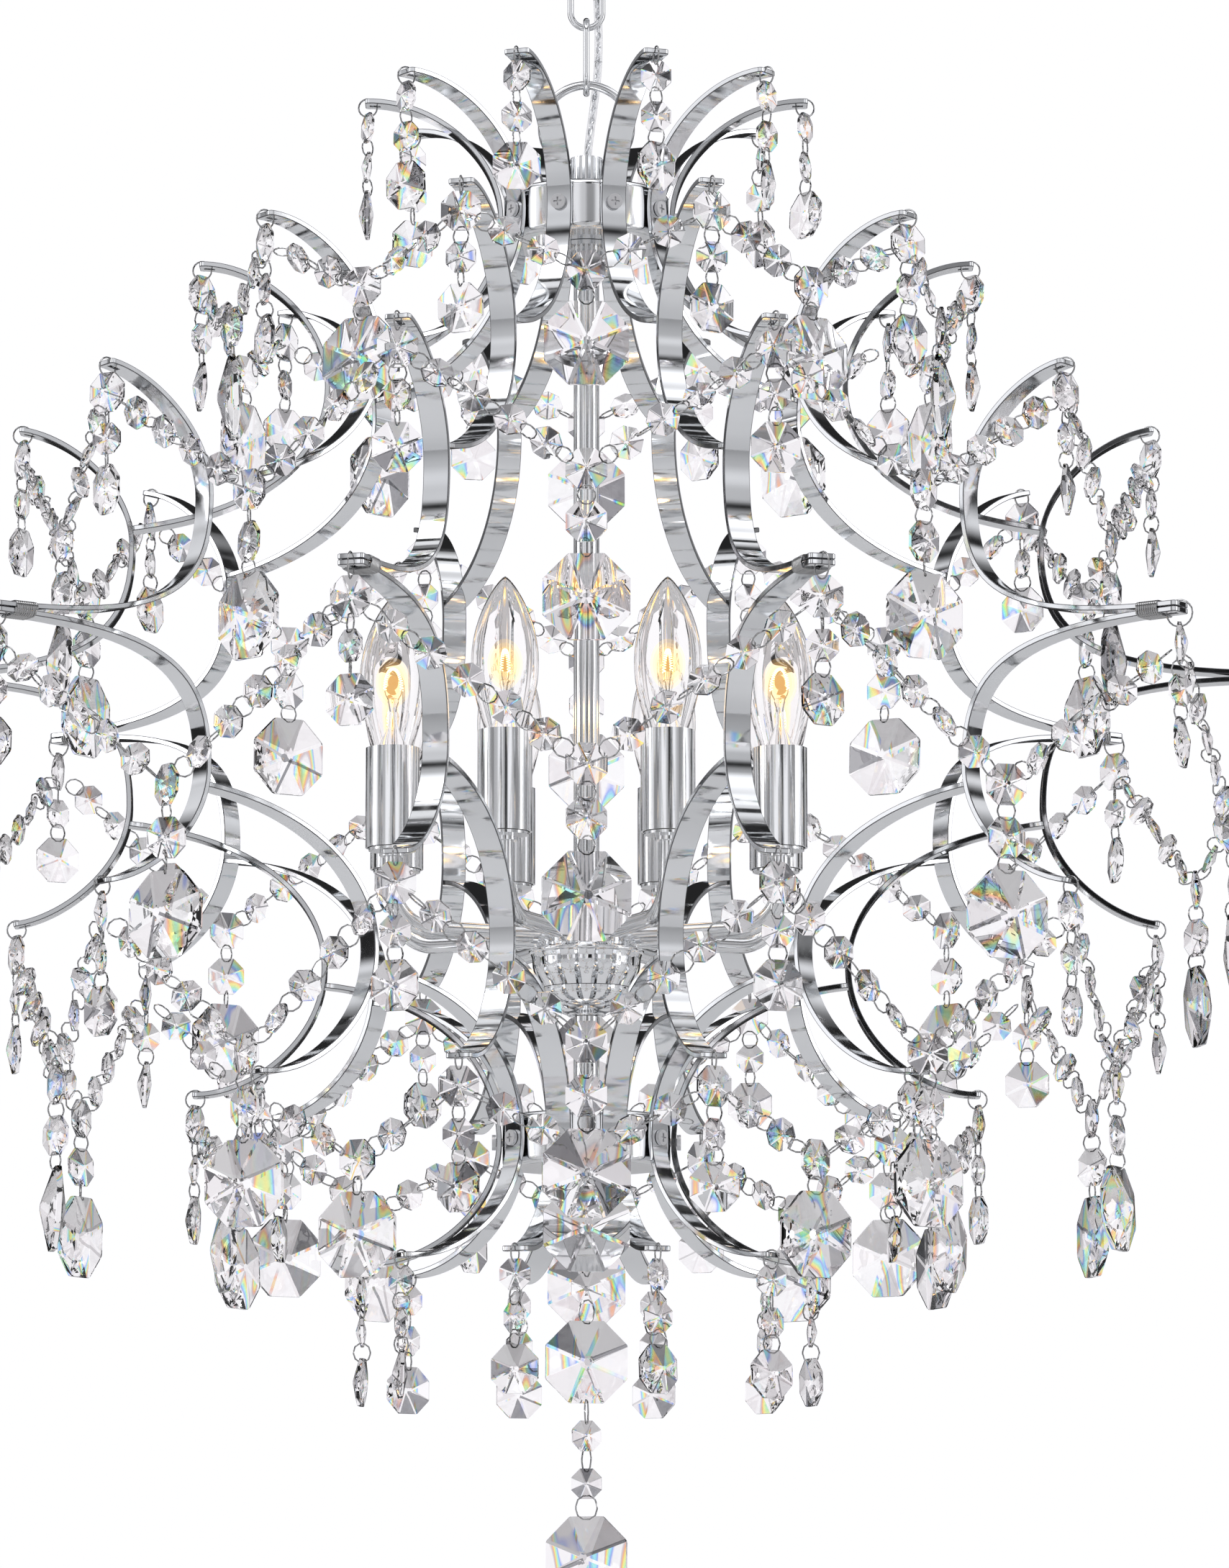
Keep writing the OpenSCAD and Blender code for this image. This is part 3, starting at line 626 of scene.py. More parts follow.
def ribbon(points, slot_at, slot_l, flip):
    """A crescent as a flat ribbon, with its slot, as a template."""
    bm = bmesh.new()
    line = [Vector((p.x, -BAR_W / 2, flip * p.y)) * MM for p in crescent_line(points)]
    verts = [bm.verts.new(p) for p in line]
    edges = [bm.edges.new(pair) for pair in zip(verts, verts[1:])]
    made = bmesh.ops.extrude_edge_only(bm, edges=edges)["geom"]
    wide = [g for g in made if isinstance(g, bmesh.types.BMVert)]
    bmesh.ops.translate(bm, vec=(0, BAR_W * MM, 0), verts=wide)
    corners = [v for v in bm.verts if len(v.link_faces) == 1]
    bmesh.ops.bevel(bm, geom=corners, offset=CORNER_R * MM, segments=3, profile=0.5,
                    affect="VERTICES", material=-1)
    bulge_z = points[3][1] * MM
    for tip_r, length in zip(slot_at, slot_l):
        near = [f for f in bm.faces if f.calc_center_median().x > (tip_r - TIP_REACH) * MM]
        heights = {f: abs(f.calc_center_median().z) for f in near}
        if tip_r == WAIST_R:
            near = [f for f in near if heights[f] < bulge_z / 2]
        else:
            near = [f for f in near if heights[f] > bulge_z]
        cut_slot(bm, near, tip_r, length)
    bmesh.ops.recalc_face_normals(bm, faces=bm.faces)
    return template(bm, "ribbon")


# %% Ten ribs
TIP_SLOT_L = 4.6
WAIST_SLOT_L = 6
EDGE_ROUND = 0.42
rib_ribbons = [
    ribbon(points, slots, lengths, flip)
    for flip in (1, -1)
    for points, slots, lengths in [
        (CROWN, [CROWN[0][0]], [TIP_SLOT_L]),
        (SHOULDER, [SHOULDER[0][0]], [TIP_SLOT_L]),
        (WAIST, [WAIST[0][0], WAIST_R], [TIP_SLOT_L, WAIST_SLOT_L]),
    ]
]
for number in range(1, RIB_COUNT + 1):
    bm = bmesh.new()
    for mesh in rib_ribbons:
        add_copy(bm, mesh, outward(RIB_TURN + (number - 1) * RIB_STEP))
    rib = finish_mesh(bm, f"rib_bars_{number:02d}", RIB_CHROME, 30)
    thicken = rib.modifiers.new("thickness", "SOLIDIFY")
    thicken.thickness = BAR_T * MM
    thicken.offset = 0
    thicken.use_even_offset = True
    rounding = rib.modifiers.new("rounding", "BEVEL")
    rounding.width = EDGE_ROUND * MM
    rounding.segments = 2
    rounding.limit_method = "ANGLE"
    rounding.angle_limit = math.radians(50)
    rounding.harden_normals = True
    # The bevels get the painted dark reflection as their second material.
    rib.data.materials.append(DARK_EDGE_PAINTED_REFLECTION)
    rounding.material = 1
    belongs(rib, "cage", f"rib_{number:02d}")
print("ribs of", len(rib_ribbons), "crescents")

# %% [markdown]
# Where an upper and a lower crescent meet at the waist, a wire binds the two bars. It
# is a close coil, so its line is a helix, squeezed to the outline of the two bars with
# a power of sine and cosine: the smaller the power, the squarer the coil.

# %% Wire wraps
WRAP_WIRE = 1.1
WRAP_TURNS = 10
WRAP_POINTS = 20
SQUARENESS = 0.45
WRAP_START_R = 305


def squarish(value):
    return math.copysign(abs(value) ** SQUARENESS, value)


def wrap_line():
    half_width = (BAR_W + WRAP_WIRE) / 2 + 0.1
    half_height = BAR_T + 0.1 + WRAP_WIRE / 2
    points = []
    for i in range(WRAP_TURNS * WRAP_POINTS + 1):
        angle = 2 * math.pi * i / WRAP_POINTS
        r = WRAP_START_R + WRAP_WIRE * i / WRAP_POINTS
        y = half_width * squarish(math.cos(angle))
        points.append(Vector((r, y, half_height * squarish(math.sin(angle)))) * MM)
    return points


bm = bmesh.new()
sweep(bm, wrap_line(), WRAP_WIRE * MM, 6)
wrap = template(bm, "wrap")
bm = bmesh.new()
for i in range(RIB_COUNT):
    add_copy(bm, wrap, outward(RIB_TURN + i * RIB_STEP))
wraps = finish_mesh(bm, "waist_coils", WIRE_CHROME, 60)
belongs(wraps, "cage", "wire_wraps")
print("coils of", WRAP_TURNS, "turns")

# %% [markdown]
# ## The crystals
# Every crystal is an octagon, cut on both sides into eight sectors that rise to a point
# in the middle. It starts as a circle of eight corners, which is extruded to the
# thickness of its rim. Then `poke` gives each face a raised middle point joined to all
# its corners: eight sectors in one step. The eight ridges get a narrow bevel, which
# makes the thin bright facets along them. The glass then has a few dozen faces, few
# enough to be copied hundreds of times.

# %% Templates of the crystals
FRONT_SHARE = 0.62


def cut_octagon(width, thickness, rim, ridge):
    """An octagon that stands on a flat, with its face along X and its deeper cut outwards."""
    bm = bmesh.new()
    radius = width / 2 / math.cos(math.pi / 8)
    bmesh.ops.create_circle(bm, cap_ends=True, segments=8, radius=radius * MM)
    bmesh.ops.rotate(bm, verts=bm.verts, matrix=turn(22.5, "Z").to_3x3())
    made = bmesh.ops.extrude_face_region(bm, geom=bm.faces[:])["geom"]
    top = [g for g in made if isinstance(g, bmesh.types.BMVert)]
    bmesh.ops.translate(bm, vec=(0, 0, rim * MM), verts=top)
    bmesh.ops.translate(bm, vec=(0, 0, -rim / 2 * MM), verts=bm.verts)
    bmesh.ops.recalc_face_normals(bm, faces=bm.faces)
    middles = []
    for cap in [f for f in bm.faces if len(f.verts) == 8]:
        share = FRONT_SHARE if cap.normal.z > 0 else 1 - FRONT_SHARE
        middles += bmesh.ops.poke(bm, faces=[cap], offset=(thickness - rim) * share * MM)["verts"]
    ridges = [e for v in middles for e in v.link_edges]
    bmesh.ops.bevel(bm, geom=ridges, offset=ridge * MM, segments=1, profile=0.5,
                    affect="EDGES", material=-1)
    bmesh.ops.rotate(bm, verts=bm.verts, matrix=turn(90, "Y").to_3x3())
    return template(bm, f"octagon_{width}")


SMALL, MIDDLE, END, LARGE = 14, 18, 22, 38
OCTAGONS = {
    SMALL: cut_octagon(SMALL, 5.2, 1.4, 0.28),
    MIDDLE: cut_octagon(MIDDLE, 6.4, 1.6, 0.34),
    END: cut_octagon(END, 7.4, 1.8, 0.42),
    LARGE: cut_octagon(LARGE, 12.5, 2.6, 0.75),
}
print("facets of a crystal:", len(OCTAGONS[SMALL].polygons))

# %% [markdown]
# Crystals hang in each other by links of thin wire, which are nearly round. A link is a
# closed line of two short straight sides and two half circles, swept with a wire of five
# sides: at under a millimetre thick, no eye will count them. A rib's tip has a round ring.

# %% Templates of the rings and links
LINK_WIRE = 0.8
LINK_SHARE = 0.9
HOLE_IN = 1.8
LINK_SIDES = 5


def link_template(length, width, bend_steps=5):
    """A link that stands upright, its middle at the origin, its wires along X and Z."""
    bend_r = (width - LINK_WIRE) / 2
    side = (length - width) / 2
    line = []
    for end, start in ((1, 0), (-1, 180)):
        for k in range(bend_steps + 1):
            angle = math.radians(start + 180 * k / bend_steps)
            line.append(Vector((bend_r * math.cos(angle), 0, end * side + bend_r * math.sin(angle))) * MM)
    bm = bmesh.new()
    sweep(bm, line, LINK_WIRE * MM, LINK_SIDES, closed=True)
    return template(bm, "link")


def ring_template(mid_r):
    line = [Vector((math.cos(a), 0, math.sin(a))) * mid_r * MM
            for a in (2 * math.pi * k / 18 for k in range(18))]
    bm = bmesh.new()
    sweep(bm, line, LINK_WIRE * MM, 6, closed=True)
    return template(bm, "ring")


TIP_RING_R = 4.4
WAIST_RING_R = 6
DROP_RING_R = 4.1
RINGS = {r: ring_template(r) for r in (TIP_RING_R, WAIST_RING_R, DROP_RING_R)}

# %% [markdown]
# A string of crystals is made by one class. It holds two meshes, one of glass and one
# of wire, because each has its own finish. `hang` goes down the string from crystal to
# crystal: the string's own -Z is the way it runs, and each crystal is turned about it
# by a random angle, as real ones never hang quite square. The random numbers are
# seeded with the string's name, so that they are the same at each run.

# %% A string of crystals
TWIST = 38
TILT = 3
RING_TWIST = 12
LINK_TWIST = 80


class Strings:
    def __init__(self, name):
        self.name = name
        self.chance = random.Random(name)
        self.glass = bmesh.new()
        self.facet = self.glass.faces.layers.float.new("facet")
        self.wire = bmesh.new()
        self.links = {}
        self.count = 0

    def crystal(self, place, width, twist):
        spin = self.chance.uniform(-twist, twist)
        tilt = self.chance.uniform(-TILT, TILT)
        turned = place @ turn(spin, "Z") @ turn(tilt, "Y")
        for face in add_copy(self.glass, OCTAGONS[width], turned):
            face[self.facet] = self.chance.random()
        self.count += 1

    def link(self, place, gap):
        length = round(gap + 2 * HOLE_IN + LINK_WIRE, 2)
        if length not in self.links:
            self.links[length] = link_template(length, length * LINK_SHARE)
        spin = self.chance.uniform(-LINK_TWIST, LINK_TWIST)
        add_copy(self.wire, self.links[length], place @ turn(spin, "Z"))

    def ring(self, place, mid_r):
        spin = self.chance.uniform(-RING_TWIST, RING_TWIST)
        add_copy(self.wire, RINGS[mid_r], place @ turn(spin, "Z"))

    def hang(self, place, widths, gap, twist=TWIST, first=True, last=True):
        """Crystals of those widths down from place, with a link between each two."""
        down = 0
        for i, width in enumerate(widths):
            if i:
                self.link(place @ move(0, 0, -down - gap / 2), gap)
                down += gap + width / 2
            drawn = (i > 0 or first) and (i < len(widths) - 1 or last)
            if drawn:
                self.crystal(place @ move(0, 0, -down), width, twist if width < LARGE else twist / 2)
            down += width / 2

    def finish(self, node, body):
        pieces = [finish_mesh(self.glass, self.name + "_crystals", CRYSTAL, 0),
                  finish_mesh(self.wire, self.name + "_links", WIRE_CHROME, 60)]
        for piece, slot in zip(pieces, ("crystal", "chrome")):
            belongs(piece, body, node)
        return self.count


# %% [markdown]
# At each tip hangs a short string: a ring in the slot's bridge, a first crystal, a
# small one and an end one. The tips of the crown and of the foot start with a small
# crystal, and the other five tiers with a middle one, which also carries the garlands.

# %% Short strings at the tips
GAP = 5.2
EYE_IN = BRIDGE_W / 2
EYE_RISE = 2.1
FIRST_DROP = 11.7
MIDDLE_DROP = FIRST_DROP + (MIDDLE - SMALL) / 2
WAIST_DROP = 16
# Radius and height of a tip, the ring's radius and the drop to its first crystal's middle
TIERS = [
    (*SHOULDER[0], TIP_RING_R, MIDDLE_DROP),
    (*WAIST[0], TIP_RING_R, MIDDLE_DROP),
    (WAIST_R, 0, WAIST_RING_R, WAIST_DROP),
    (WAIST[0][0], -WAIST[0][1], TIP_RING_R, MIDDLE_DROP),
    (SHOULDER[0][0], -SHOULDER[0][1], TIP_RING_R, MIDDLE_DROP),
]


def short_string(strings, tip_r, tip_z, ring_r, drop, first_width, rib):
    eye = outward(RIB_TURN + rib * RIB_STEP) @ move(tip_r - EYE_IN, 0, tip_z)
    rise = EYE_RISE if ring_r == TIP_RING_R else WAIST_RING_R - WAIST_DROP + MIDDLE / 2 + HOLE_IN + 2
    strings.ring(eye @ move(0, 0, -rise), ring_r)
    strings.hang(eye @ move(0, 0, -drop), [first_width, SMALL, END], GAP)


tips = Strings("tips")
for tier in TIERS:
    for rib in range(RIB_COUNT):
        short_string(tips, *tier, MIDDLE, rib)
print("tips:", tips.finish("tip_pendants", "cage"), "crystals")

foot = Strings("foot_tips")
for rib in range(RIB_COUNT):
    short_string(foot, CROWN[0][0], -CROWN[0][1], TIP_RING_R, FIRST_DROP, SMALL, rib)
print("foot tips:", foot.finish("foot_pendants", "cage"), "crystals")

for rib in range(RIB_COUNT):
    crown = Strings(f"crown_tip_{rib + 1:02d}")
    short_string(crown, *CROWN[0], TIP_RING_R, FIRST_DROP, SMALL, rib)
    crown.finish(f"crown_pendant_{rib + 1:02d}", f"crown_pendant_{rib + 1:02d}")

# %% [markdown]
# Between two neighbouring tips of a tier hangs a V of small crystals, with a middle one
# at its lowest point and a large one below that. The gap in a V is what is left of its
# length when the crystals are in, shared out between the links.

# %% Garlands
LOW_TWIST = 24


def garland(name, tier, low, small_count, extra):
    tip_r, tip_z, _, drop = tier
    eye_r = tip_r - EYE_IN
    half = eye_r * math.sin(math.radians(RIB_STEP / 2))
    top = tip_z - drop
    length = math.hypot(half, top - low)
    lean = math.degrees(math.atan2(half, top - low))
    gap = (length - MIDDLE - small_count * SMALL) / (small_count + 1)
    strings = Strings(name)
    for i in range(RIB_COUNT):
        plane = outward(i * RIB_STEP) @ move(eye_r * math.cos(math.radians(RIB_STEP / 2)), 0, 0)
        for side in (-1, 1):
            start = plane @ move(0, side * half, top) @ turn(-side * lean, "X")
            strings.hang(start, [MIDDLE] + [SMALL] * small_count + [MIDDLE], gap,
                         first=False, last=False)
        strings.hang(plane @ move(0, 0, low), [MIDDLE] * (1 + extra) + [LARGE], GAP, twist=LOW_TWIST)
    count = strings.finish(name, "cage")
    print(name, count, "crystals, gap", round(gap, 2), "mm")


garland("garland_crown", TIERS[0], 156, 2, 0)
garland("garland_shoulder", TIERS[1], 50, 4, 1)
garland("garland_waist", TIERS[2], -88, 5, 1)
garland("garland_hip", TIERS[3], -200, 4, 1)
garland("garland_foot", TIERS[4], -240, 2, 0)

# %% [markdown]
# Under the lower hub a long string of six crystals hangs in the finial's eye.

# %% Centre drop
DROP_WIDTHS = [SMALL, SMALL, LARGE, SMALL, SMALL, LARGE]
DROP_GAP = 8
DROP_TWIST = 30
# The middle of the eye's lowest wire. The ring's wire rests above it, and the first crystal is below.
HOOK_Z = -252.8
RING_REST = 1.45
DROP_START = 4.9
drop = Strings("centre_string")
axis = outward(0)
drop.ring(axis @ move(0, 0, HOOK_Z + RING_REST - DROP_RING_R), DROP_RING_R)
drop.hang(axis @ move(0, 0, HOOK_Z - DROP_START - SMALL / 2), DROP_WIDTHS, DROP_GAP, twist=DROP_TWIST)
print("centre drop:", drop.finish("centre_drop", "centre_drop"), "crystals")

# %% [markdown]
# ## Turned parts
# Bulbs, bowl and canopy are turned: an outline is drawn on one side of the axis and
# spun round it. `spin` with `use_merge` closes the last step on the first, and points
# that lie on the axis fall together, so doubles are merged after.

# %% Helper: spin an outline
def turned(bm, outline, steps=64, place=None):
    """Spins an outline of radius and height, in millimetres, about the Z axis."""
    first = len(bm.verts)
    verts = [bm.verts.new((r * MM, 0, z * MM)) for r, z in outline]
    edges = [bm.edges.new(pair) for pair in zip(verts, verts[1:])]
    bmesh.ops.spin(bm, geom=verts + edges, cent=(0, 0, 0), axis=(0, 0, 1), angle=2 * math.pi,
                   steps=steps, use_merge=True, use_duplicate=False)
    bm.verts.ensure_lookup_table()
    made = bm.verts[first:]
    bmesh.ops.remove_doubles(bm, verts=made, dist=1e-6)
    bm.verts.ensure_lookup_table()
    made = bm.verts[first:]
    faces = list({f for v in made for f in v.link_faces})
    bmesh.ops.recalc_face_normals(bm, faces=faces)
    if place:
        bmesh.ops.transform(bm, matrix=place, verts=made)


# %% [markdown]
# A candle bulb is a thin torpedo of glass on a small screw base. Inside stand a glass
# stem, two lead wires and a filament bent like a hairpin. The glass is drawn outside
# and then back inside, so that it is a true thin wall, and light bends through it as
# through the real one.

# %% Outline of a bulb
SLEEVE_TOP = (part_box("candle_sleeves")[1].z - WAIST_Z) / MM
BULB_TOP = (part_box("bulb_1")[1].z - WAIST_Z) / MM
LAMP_R = 97
BULB_R = 15.5
GLASS_FOOT = SLEEVE_TOP - 0.6
GLASS_H = BULB_TOP - GLASS_FOOT
GLASS_T = 0.45
NECK_R = 8.8
BELLY = 0.45
TIP_POWER = 0.72


def glass_r(share):
    """Radius of the glass at a share of its height."""
    if share < BELLY:
        return NECK_R + (BULB_R - NECK_R) * math.sin(math.pi / 2 * share / BELLY)
    return BULB_R * max(0, math.cos(math.pi / 2 * (share - BELLY) / (1 - BELLY))) ** TIP_POWER


def glass_outline():
    shares = [k / 40 for k in range(38)] + [0.955, 0.975, 0.99, 0.998, 1]
    outer = [(glass_r(s), GLASS_FOOT + GLASS_H * s) for s in shares]
    squeeze = 1 - 2 * GLASS_T / GLASS_H
    inner = [(r * (1 - GLASS_T / BULB_R), GLASS_FOOT + GLASS_T + (z - GLASS_FOOT) * squeeze)
             for r, z in outer]
    return [(0, GLASS_FOOT)] + outer + inner[::-1] + [(0, GLASS_FOOT + GLASS_T)]


# %% Parts of a bulb
BASE_R = 6
BASE_H = 17
BASE_FOOT = GLASS_FOOT - 0.4 - BASE_H
THREADS = 6
THREAD_DEPTH = 0.45
STEM_H = 24


def base_outline():
    """A screw base: a contact, an insulating slope and round threads."""
    outline = [(0, BASE_FOOT - 0.6), (2.6, BASE_FOOT - 0.6), (3, BASE_FOOT), (4.6, BASE_FOOT + 1.6)]
    for k in range(THREADS * 6 + 1):
        height = BASE_FOOT + 2 + 11 * k / (THREADS * 6)
        outline.append((BASE_R - THREAD_DEPTH + THREAD_DEPTH * math.cos(2 * math.pi * k / 6), height))
    return outline + [(BASE_R, BASE_FOOT + BASE_H), (0, BASE_FOOT + BASE_H)]


def stem_outline():
    foot = GLASS_FOOT + GLASS_T + 0.2
    return [(0, foot), (5.6, foot), (4.6, foot + 3), (2.6, foot + 8), (1.6, foot + 12),
            (1.5, foot + STEM_H - 5), (2.1, foot + STEM_H - 2.5), (1.6, foot + STEM_H - 0.6),
            (0, foot + STEM_H)]


def hairpin(reach, height, foot, points=17):
    """A narrow arch of wire that stands on two feet."""
    line = []
    for k in range(points):
        angle = math.pi * k / (points - 1)
        line.append(Vector((reach * math.cos(angle), 0, foot + height * math.sin(angle))) * MM)
    return line


def coiled(line, radius, turns):
    """A fine coil round a line."""
    count = turns * 8
    path = smooth_line(line, 12)
    points = []
    places = sections(path, False)
    for k in range(count + 1):
        at = k / count * (len(path) - 1)
        place = places[int(at)]
        along = path[min(int(at) + 1, len(path) - 1)] - path[int(at)]
        angle = 2 * math.pi * k / 8
        reach = radius * MM
        points.append(place @ Vector((reach * math.cos(angle), reach * math.sin(angle), 0))
                      + along * (at - int(at)))
    return points


# %% Eight bulbs
def mesh_piece(name, material, body, build, place, smooth=35):
    """A piece that build fills in, put in place on a body of the frame."""
    bm = bmesh.new()
    build(bm)
    bmesh.ops.transform(bm, matrix=place, verts=bm.verts)
    belongs(finish_mesh(bm, name, material, smooth), body, body)


def leads(bm):
    foot = GLASS_FOOT + STEM_H - 6
    for side in (-1, 1):
        line = [Vector((side * r, 0, z)) * MM for r, z in
                [(0.9, foot), (1.8, foot + 5), (3.0, foot + 8), (3.2, foot + 10)]]
        sweep(bm, smooth_line(line, 4), 0.45 * MM, 6)


def filament(bm):
    sweep(bm, coiled(hairpin(3.2, 9.5, GLASS_FOOT + STEM_H + 3.6), 0.55, 26), 0.32 * MM, 5)


GLOW_R = 6.2
GLOW_H = 11
GLOW_Z = GLASS_FOOT + STEM_H + 7


def glow(bm):
    for share in (0.3, 0.5, 0.7, 0.85, 1):
        turned(bm, [(GLOW_R * share * math.sin(math.pi * k / 20),
                     GLOW_Z - GLOW_H * share * math.cos(math.pi * k / 20)) for k in range(21)], 32)


for number in range(1, LAMP_COUNT + 1):
    body = f"bulb_{number}"
    angle = LAMP_TURN + (number - 1) * LAMP_STEP
    place = outward(angle) @ move(LAMP_R, 0, 0)
    mesh_piece(f"bulb_glass_{number}", BULB_GLASS, body,
               lambda bm: turned(bm, glass_outline(), 64), place, 60)
    mesh_piece(f"bulb_base_{number}", BRASS, body,
               lambda bm: turned(bm, base_outline(), 40), place)
    mesh_piece(f"bulb_stem_{number}", BULB_GLASS, body,
               lambda bm: turned(bm, stem_outline(), 24), place, 50)
    mesh_piece(f"bulb_leads_{number}", WIRE_CHROME, body, leads, place)
    mesh_piece(f"bulb_filament_{number}", FILAMENT, body, filament, place, 60)
    mesh_piece(f"bulb_glow_{number}", GLOW, body, glow, place, 60)
print("bulbs of", round(GLASS_H, 1), "mm of glass")

# %% [markdown]
# The bowl that the arms grow out of, the dome that closes it and the canopy on the
# ceiling are spun from sheet. Their outlines are smoothed with the same line helper as
# the cord, so that the mirror has no creases that the real one lacks. The bowl keeps
# a round bead at its rim. The canopy has a rolled edge against the ceiling.

# %% Bowl, dome and canopy
def smooth_outline(points, steps=6):
    line = smooth_line([Vector((r, 0, z)) for r, z in points], steps)
    return [(max(p.x, 0), p.z) for p in line]


BOWL = [(5.2, -116), (14, -116), (20, -116.3), (23.2, -118.4), (24.4, -122), (24.5, -127.2)]
BEAD = [(24.6, -128.2), (25.8, -128.8), (26.8, -129.3), (27, -130), (26.8, -130.8), (26, -131.4)]
SKIRT = [(25.4, -133.5), (24.9, -138), (23.6, -142), (21, -146.8)]
DOME = [(21, -147.1), (20.2, -150.4), (17.6, -154.4), (13.4, -157.6), (9.4, -159.3), (8.5, -160)]
SHEET_T = 1.4


def shell(bm, outer, place):
    """A spun shell: the outer outline, and the same moved in by the sheet's thickness."""
    inner = []
    for i, (r, z) in enumerate(outer):
        before, after = outer[max(i - 1, 0)], outer[min(i + 1, len(outer) - 1)]
        way = Vector((after[0] - before[0], after[1] - before[1])).normalized()
        inner.append((r + way.y * SHEET_T, z - way.x * SHEET_T))
    turned(bm, outer + inner[::-1] + outer[:1], 96, place)


def shell_piece(name, body, node, outline, place):
    bm = bmesh.new()
    shell(bm, outline, place)
    belongs(finish_mesh(bm, name, CHROME, 40), body, node)


bowl_line = smooth_outline(BOWL) + smooth_outline(BEAD) + smooth_outline(SKIRT)
shell_piece("spun_bowl", "cage", "arm_bowl", bowl_line, outward(0))
shell_piece("spun_dome", "cage", "bowl_dome", smooth_outline(DOME), outward(0))

canopy_low, canopy_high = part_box("ceiling_canopy")
CANOPY_R = canopy_high.x / MM
CANOPY_H = -canopy_low.z / MM
canopy_line = [(CANOPY_R - 0.6, 0), (CANOPY_R, -1), (CANOPY_R, -3.2), (CANOPY_R - 1.2, -5.6)]
canopy_line += smooth_outline([(CANOPY_R - 2.2, -6.4), (CANOPY_R - 9, -14.5), (CANOPY_R - 20, -20.4),
                               (CANOPY_R - 33, -23.8), (20, -CANOPY_H), (5.2, -CANOPY_H)])
shell_piece("spun_canopy", "canopy", "ceiling_canopy", canopy_line, Matrix.Identity(4))

# %% [markdown]
# ## The studio
# Chrome and clear glass show nothing but the room, so the room is most of their look.
# It is bright all round, with a few grey and black strips that give the metal its dark
# lines, as strips of black card do in a tent of white cloth. The eye itself sees plain
# white behind the chandelier. A pale floor lies well below it.

# %% Room light
def world_band(tree, value, centre, half, soft):
    """1 where the value is within half of centre, softly 0 beyond."""
    away = math_node(tree, "SUBTRACT", value, centre)
    size = math_node(tree, "ABSOLUTE", away.outputs[0])
    return ranged(tree, size.outputs[0], half - soft, half + soft, 1, 0, "SMOOTHSTEP")


def grey(level):
    """A grey of that brightness, with the touch of blue that daylight has."""
    return (level, level, level * 1.03)


world = bpy.data.worlds.new("studio")
world.use_nodes = True
bpy.context.scene.world = world
tree = world.node_tree
background = tree.nodes["Background"]
direction = tree.nodes.new("ShaderNodeSeparateXYZ")
tree.links.new(tree.nodes.new("ShaderNodeTexCoord").outputs["Generated"], direction.inputs[0])
azimuth = math_node(tree, "ARCTAN2", direction.outputs["X"])
tree.links.new(direction.outputs["Y"], azimuth.inputs[1])

# Upright strips: the direction from the back, half a width and softness in degrees, and brightness
STRIPS = [
    (0, 24, 10, 1.0), (64, 7, 2, 0.02), (-72, 8, 2, 0.02), (96, 14, 3, 1.25), (-104, 12, 3, 1.2),
    (128, 12, 10, 0.30), (-126, 10, 9, 0.28), (175, 7, 2, 0.01), (-161, 10, 3, 1.1), (158, 9, 3, 1.1),
    (30, 3, 1, 0.05), (-38, 3, 1, 0.05),
]
# Level strips: the height of the direction, from -1 to 1, half a width and softness, and brightness
SHELVES = [(0.60, 0.05, 0.05, 0.03), (-0.42, 0.05, 0.02, 0.05), (0.82, 0.08, 0.05, 1.3),
           (0.30, 0.06, 0.06, 0.80)]
HEIGHT_LEVELS = [(0.3, 0.22), (0.46, 0.34), (0.54, 0.50), (0.75, 0.80)]
height_stops = [(position, grey(level)) for position, level in HEIGHT_LEVELS]
height_stops = [(0, (0.15, 0.15, 0.16)), *height_stops, (1, (0.90, 0.90, 0.92))]
room = ramp(tree, ranged(tree, direction.outputs["Z"], -1, 1, 0, 1), height_stops)
for centre, half, soft, level in STRIPS:
    band = world_band(tree, azimuth.outputs[0], *(math.radians(v) for v in (centre, half, soft)))
    room = mixed(tree, band, room, grey(level))
for centre, half, soft, level in SHELVES:
    band = world_band(tree, direction.outputs["Z"], centre, half, soft)
    room = mixed(tree, band, room, grey(level))
rays = tree.nodes.new("ShaderNodeLightPath").outputs
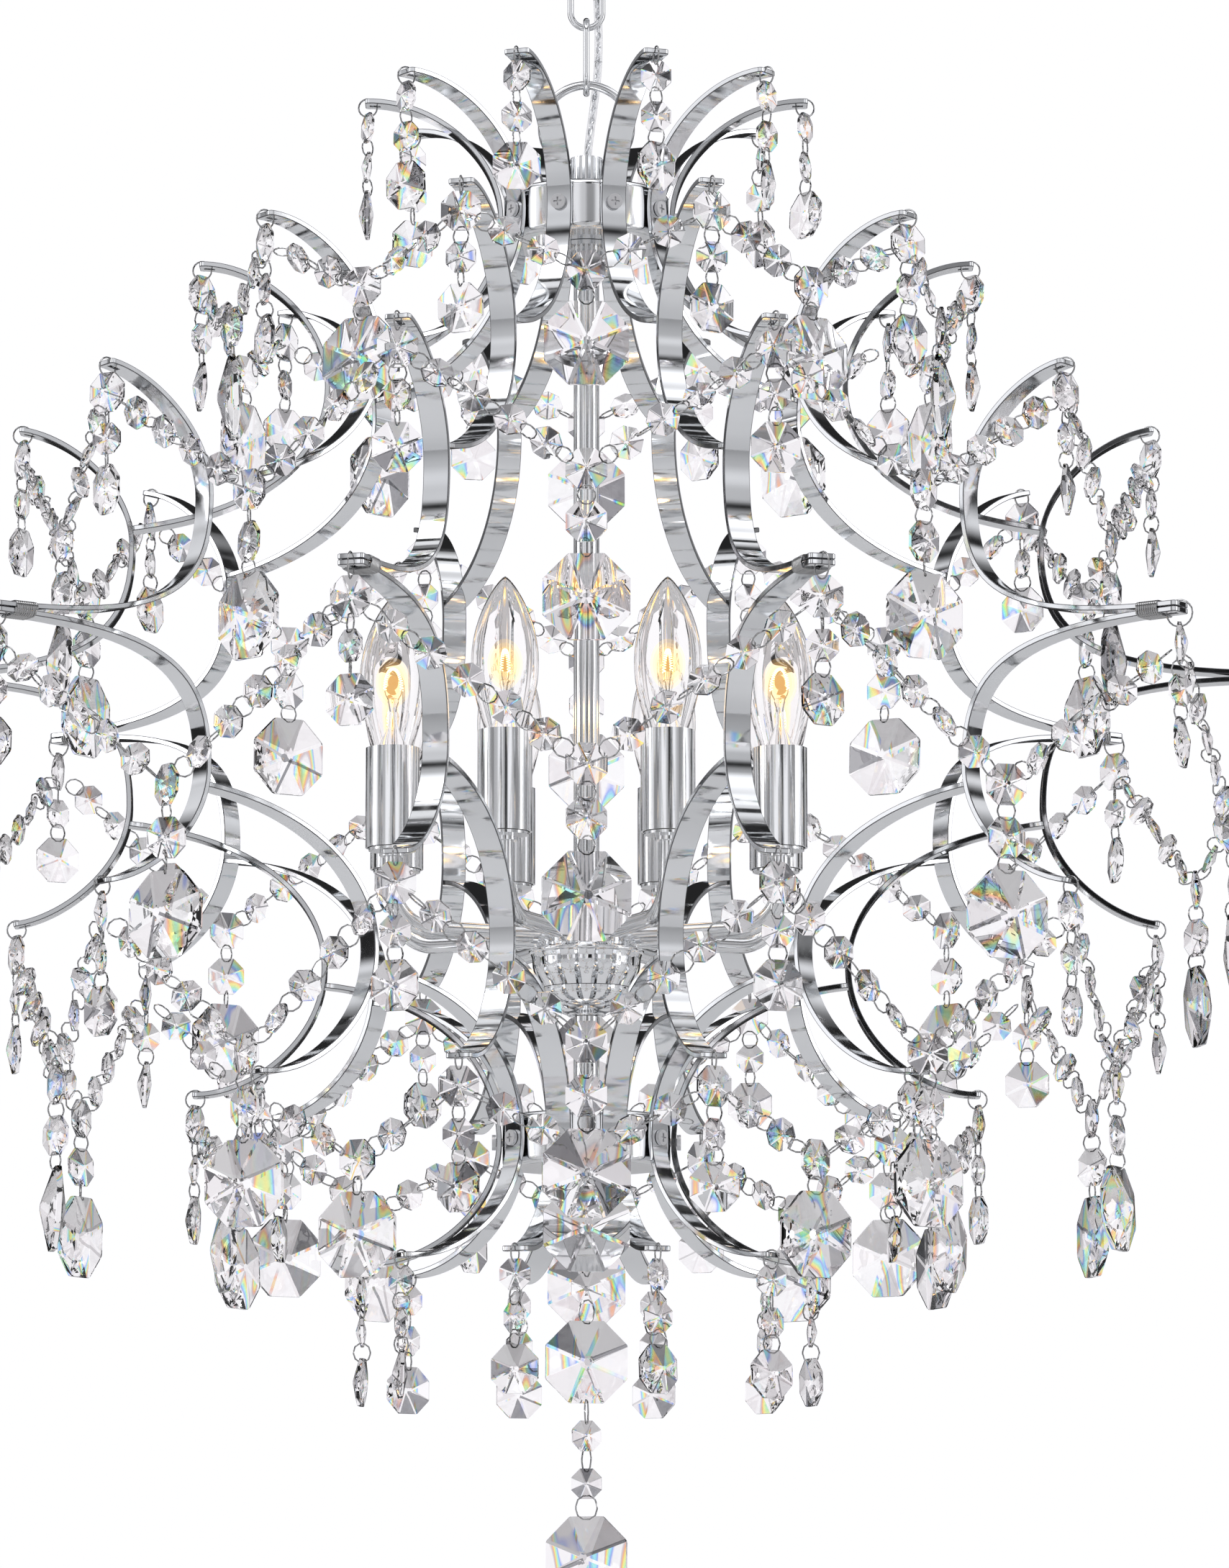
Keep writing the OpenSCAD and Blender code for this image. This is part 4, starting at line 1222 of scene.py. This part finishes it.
# Only mirrors see this black card behind: it draws a dark outline on every bar and tube
BACK_CARD = (38, 14)
BACK_LEVEL = 0.02
THROUGH_GLASS = 0.82
through = mixed(tree, THROUGH_GLASS, room, grey(1))
dark_back = world_band(tree, azimuth.outputs[0], 0, *(math.radians(v) for v in BACK_CARD))
mirrored = mixed(tree, dark_back, room, grey(BACK_LEVEL))
seen = mixed(tree, rays["Is Transmission Ray"], mirrored, through)
seen = mixed(tree, rays["Is Camera Ray"], seen, grey(1))
tree.links.new(seen, background.inputs["Color"])

# %% Floor and lamps of the studio
FLOOR_DROP = 0.35
floor_bm = bmesh.new()
bmesh.ops.create_grid(floor_bm, x_segments=1, y_segments=1, size=9)
bmesh.ops.translate(floor_bm, vec=(0, 0, CAD_BOX[0].z - FLOOR_DROP), verts=floor_bm.verts)
floor_material, tree, shader = new_material("pale_floor")
blend_colours(tree, noise_node(tree, 3, 3), shader.inputs["Base Color"], (0.86, 0.86, 0.86), (0.9, 0.9, 0.9))
shader.inputs["Roughness"].default_value = 0.6
floor = finish_mesh(floor_bm, "floor", floor_material, 0)


def soft_lamp(name, position, size, power):
    data = bpy.data.lights.new(name, "AREA")
    data.shape = "RECTANGLE"
    data.size, data.size_y = size
    data.energy = power
    lamp = add_object(name, data)
    lamp.location = position
    lamp.rotation_mode = "QUATERNION"
    lamp.rotation_quaternion = (AIM - lamp.location).to_track_quat("-Z", "Y")


soft_lamp("top_light", Vector((-0.6, -0.9, 2.2)), (1.6, 1.6), 12)
soft_lamp("left_light", Vector((-3.0, -0.4, 0.2)), (0.6, 2.2), 7)
soft_lamp("right_light", Vector((2.9, -0.9, -0.2)), (0.6, 2.2), 7)
CANDLE_POWER = 0.006
CANDLE_R = LAMP_R - 23
CANDLE_Z = GLASS_FOOT + STEM_H + 9
for number in range(LAMP_COUNT):
    data = bpy.data.lights.new(f"candle_{number + 1}", "POINT")
    data.energy = CANDLE_POWER
    data.color = (1, 0.60, 0.26)
    data.shadow_soft_size = 0.006
    lamp = add_object(data.name, data)
    lamp.visible_camera = False
    lamp.visible_transmission = False
    spot = outward(LAMP_TURN + number * LAMP_STEP) @ move(CANDLE_R, 0, CANDLE_Z)
    lamp.location = spot.to_translation()
bpy.context.scene.view_settings.view_transform = "Standard"
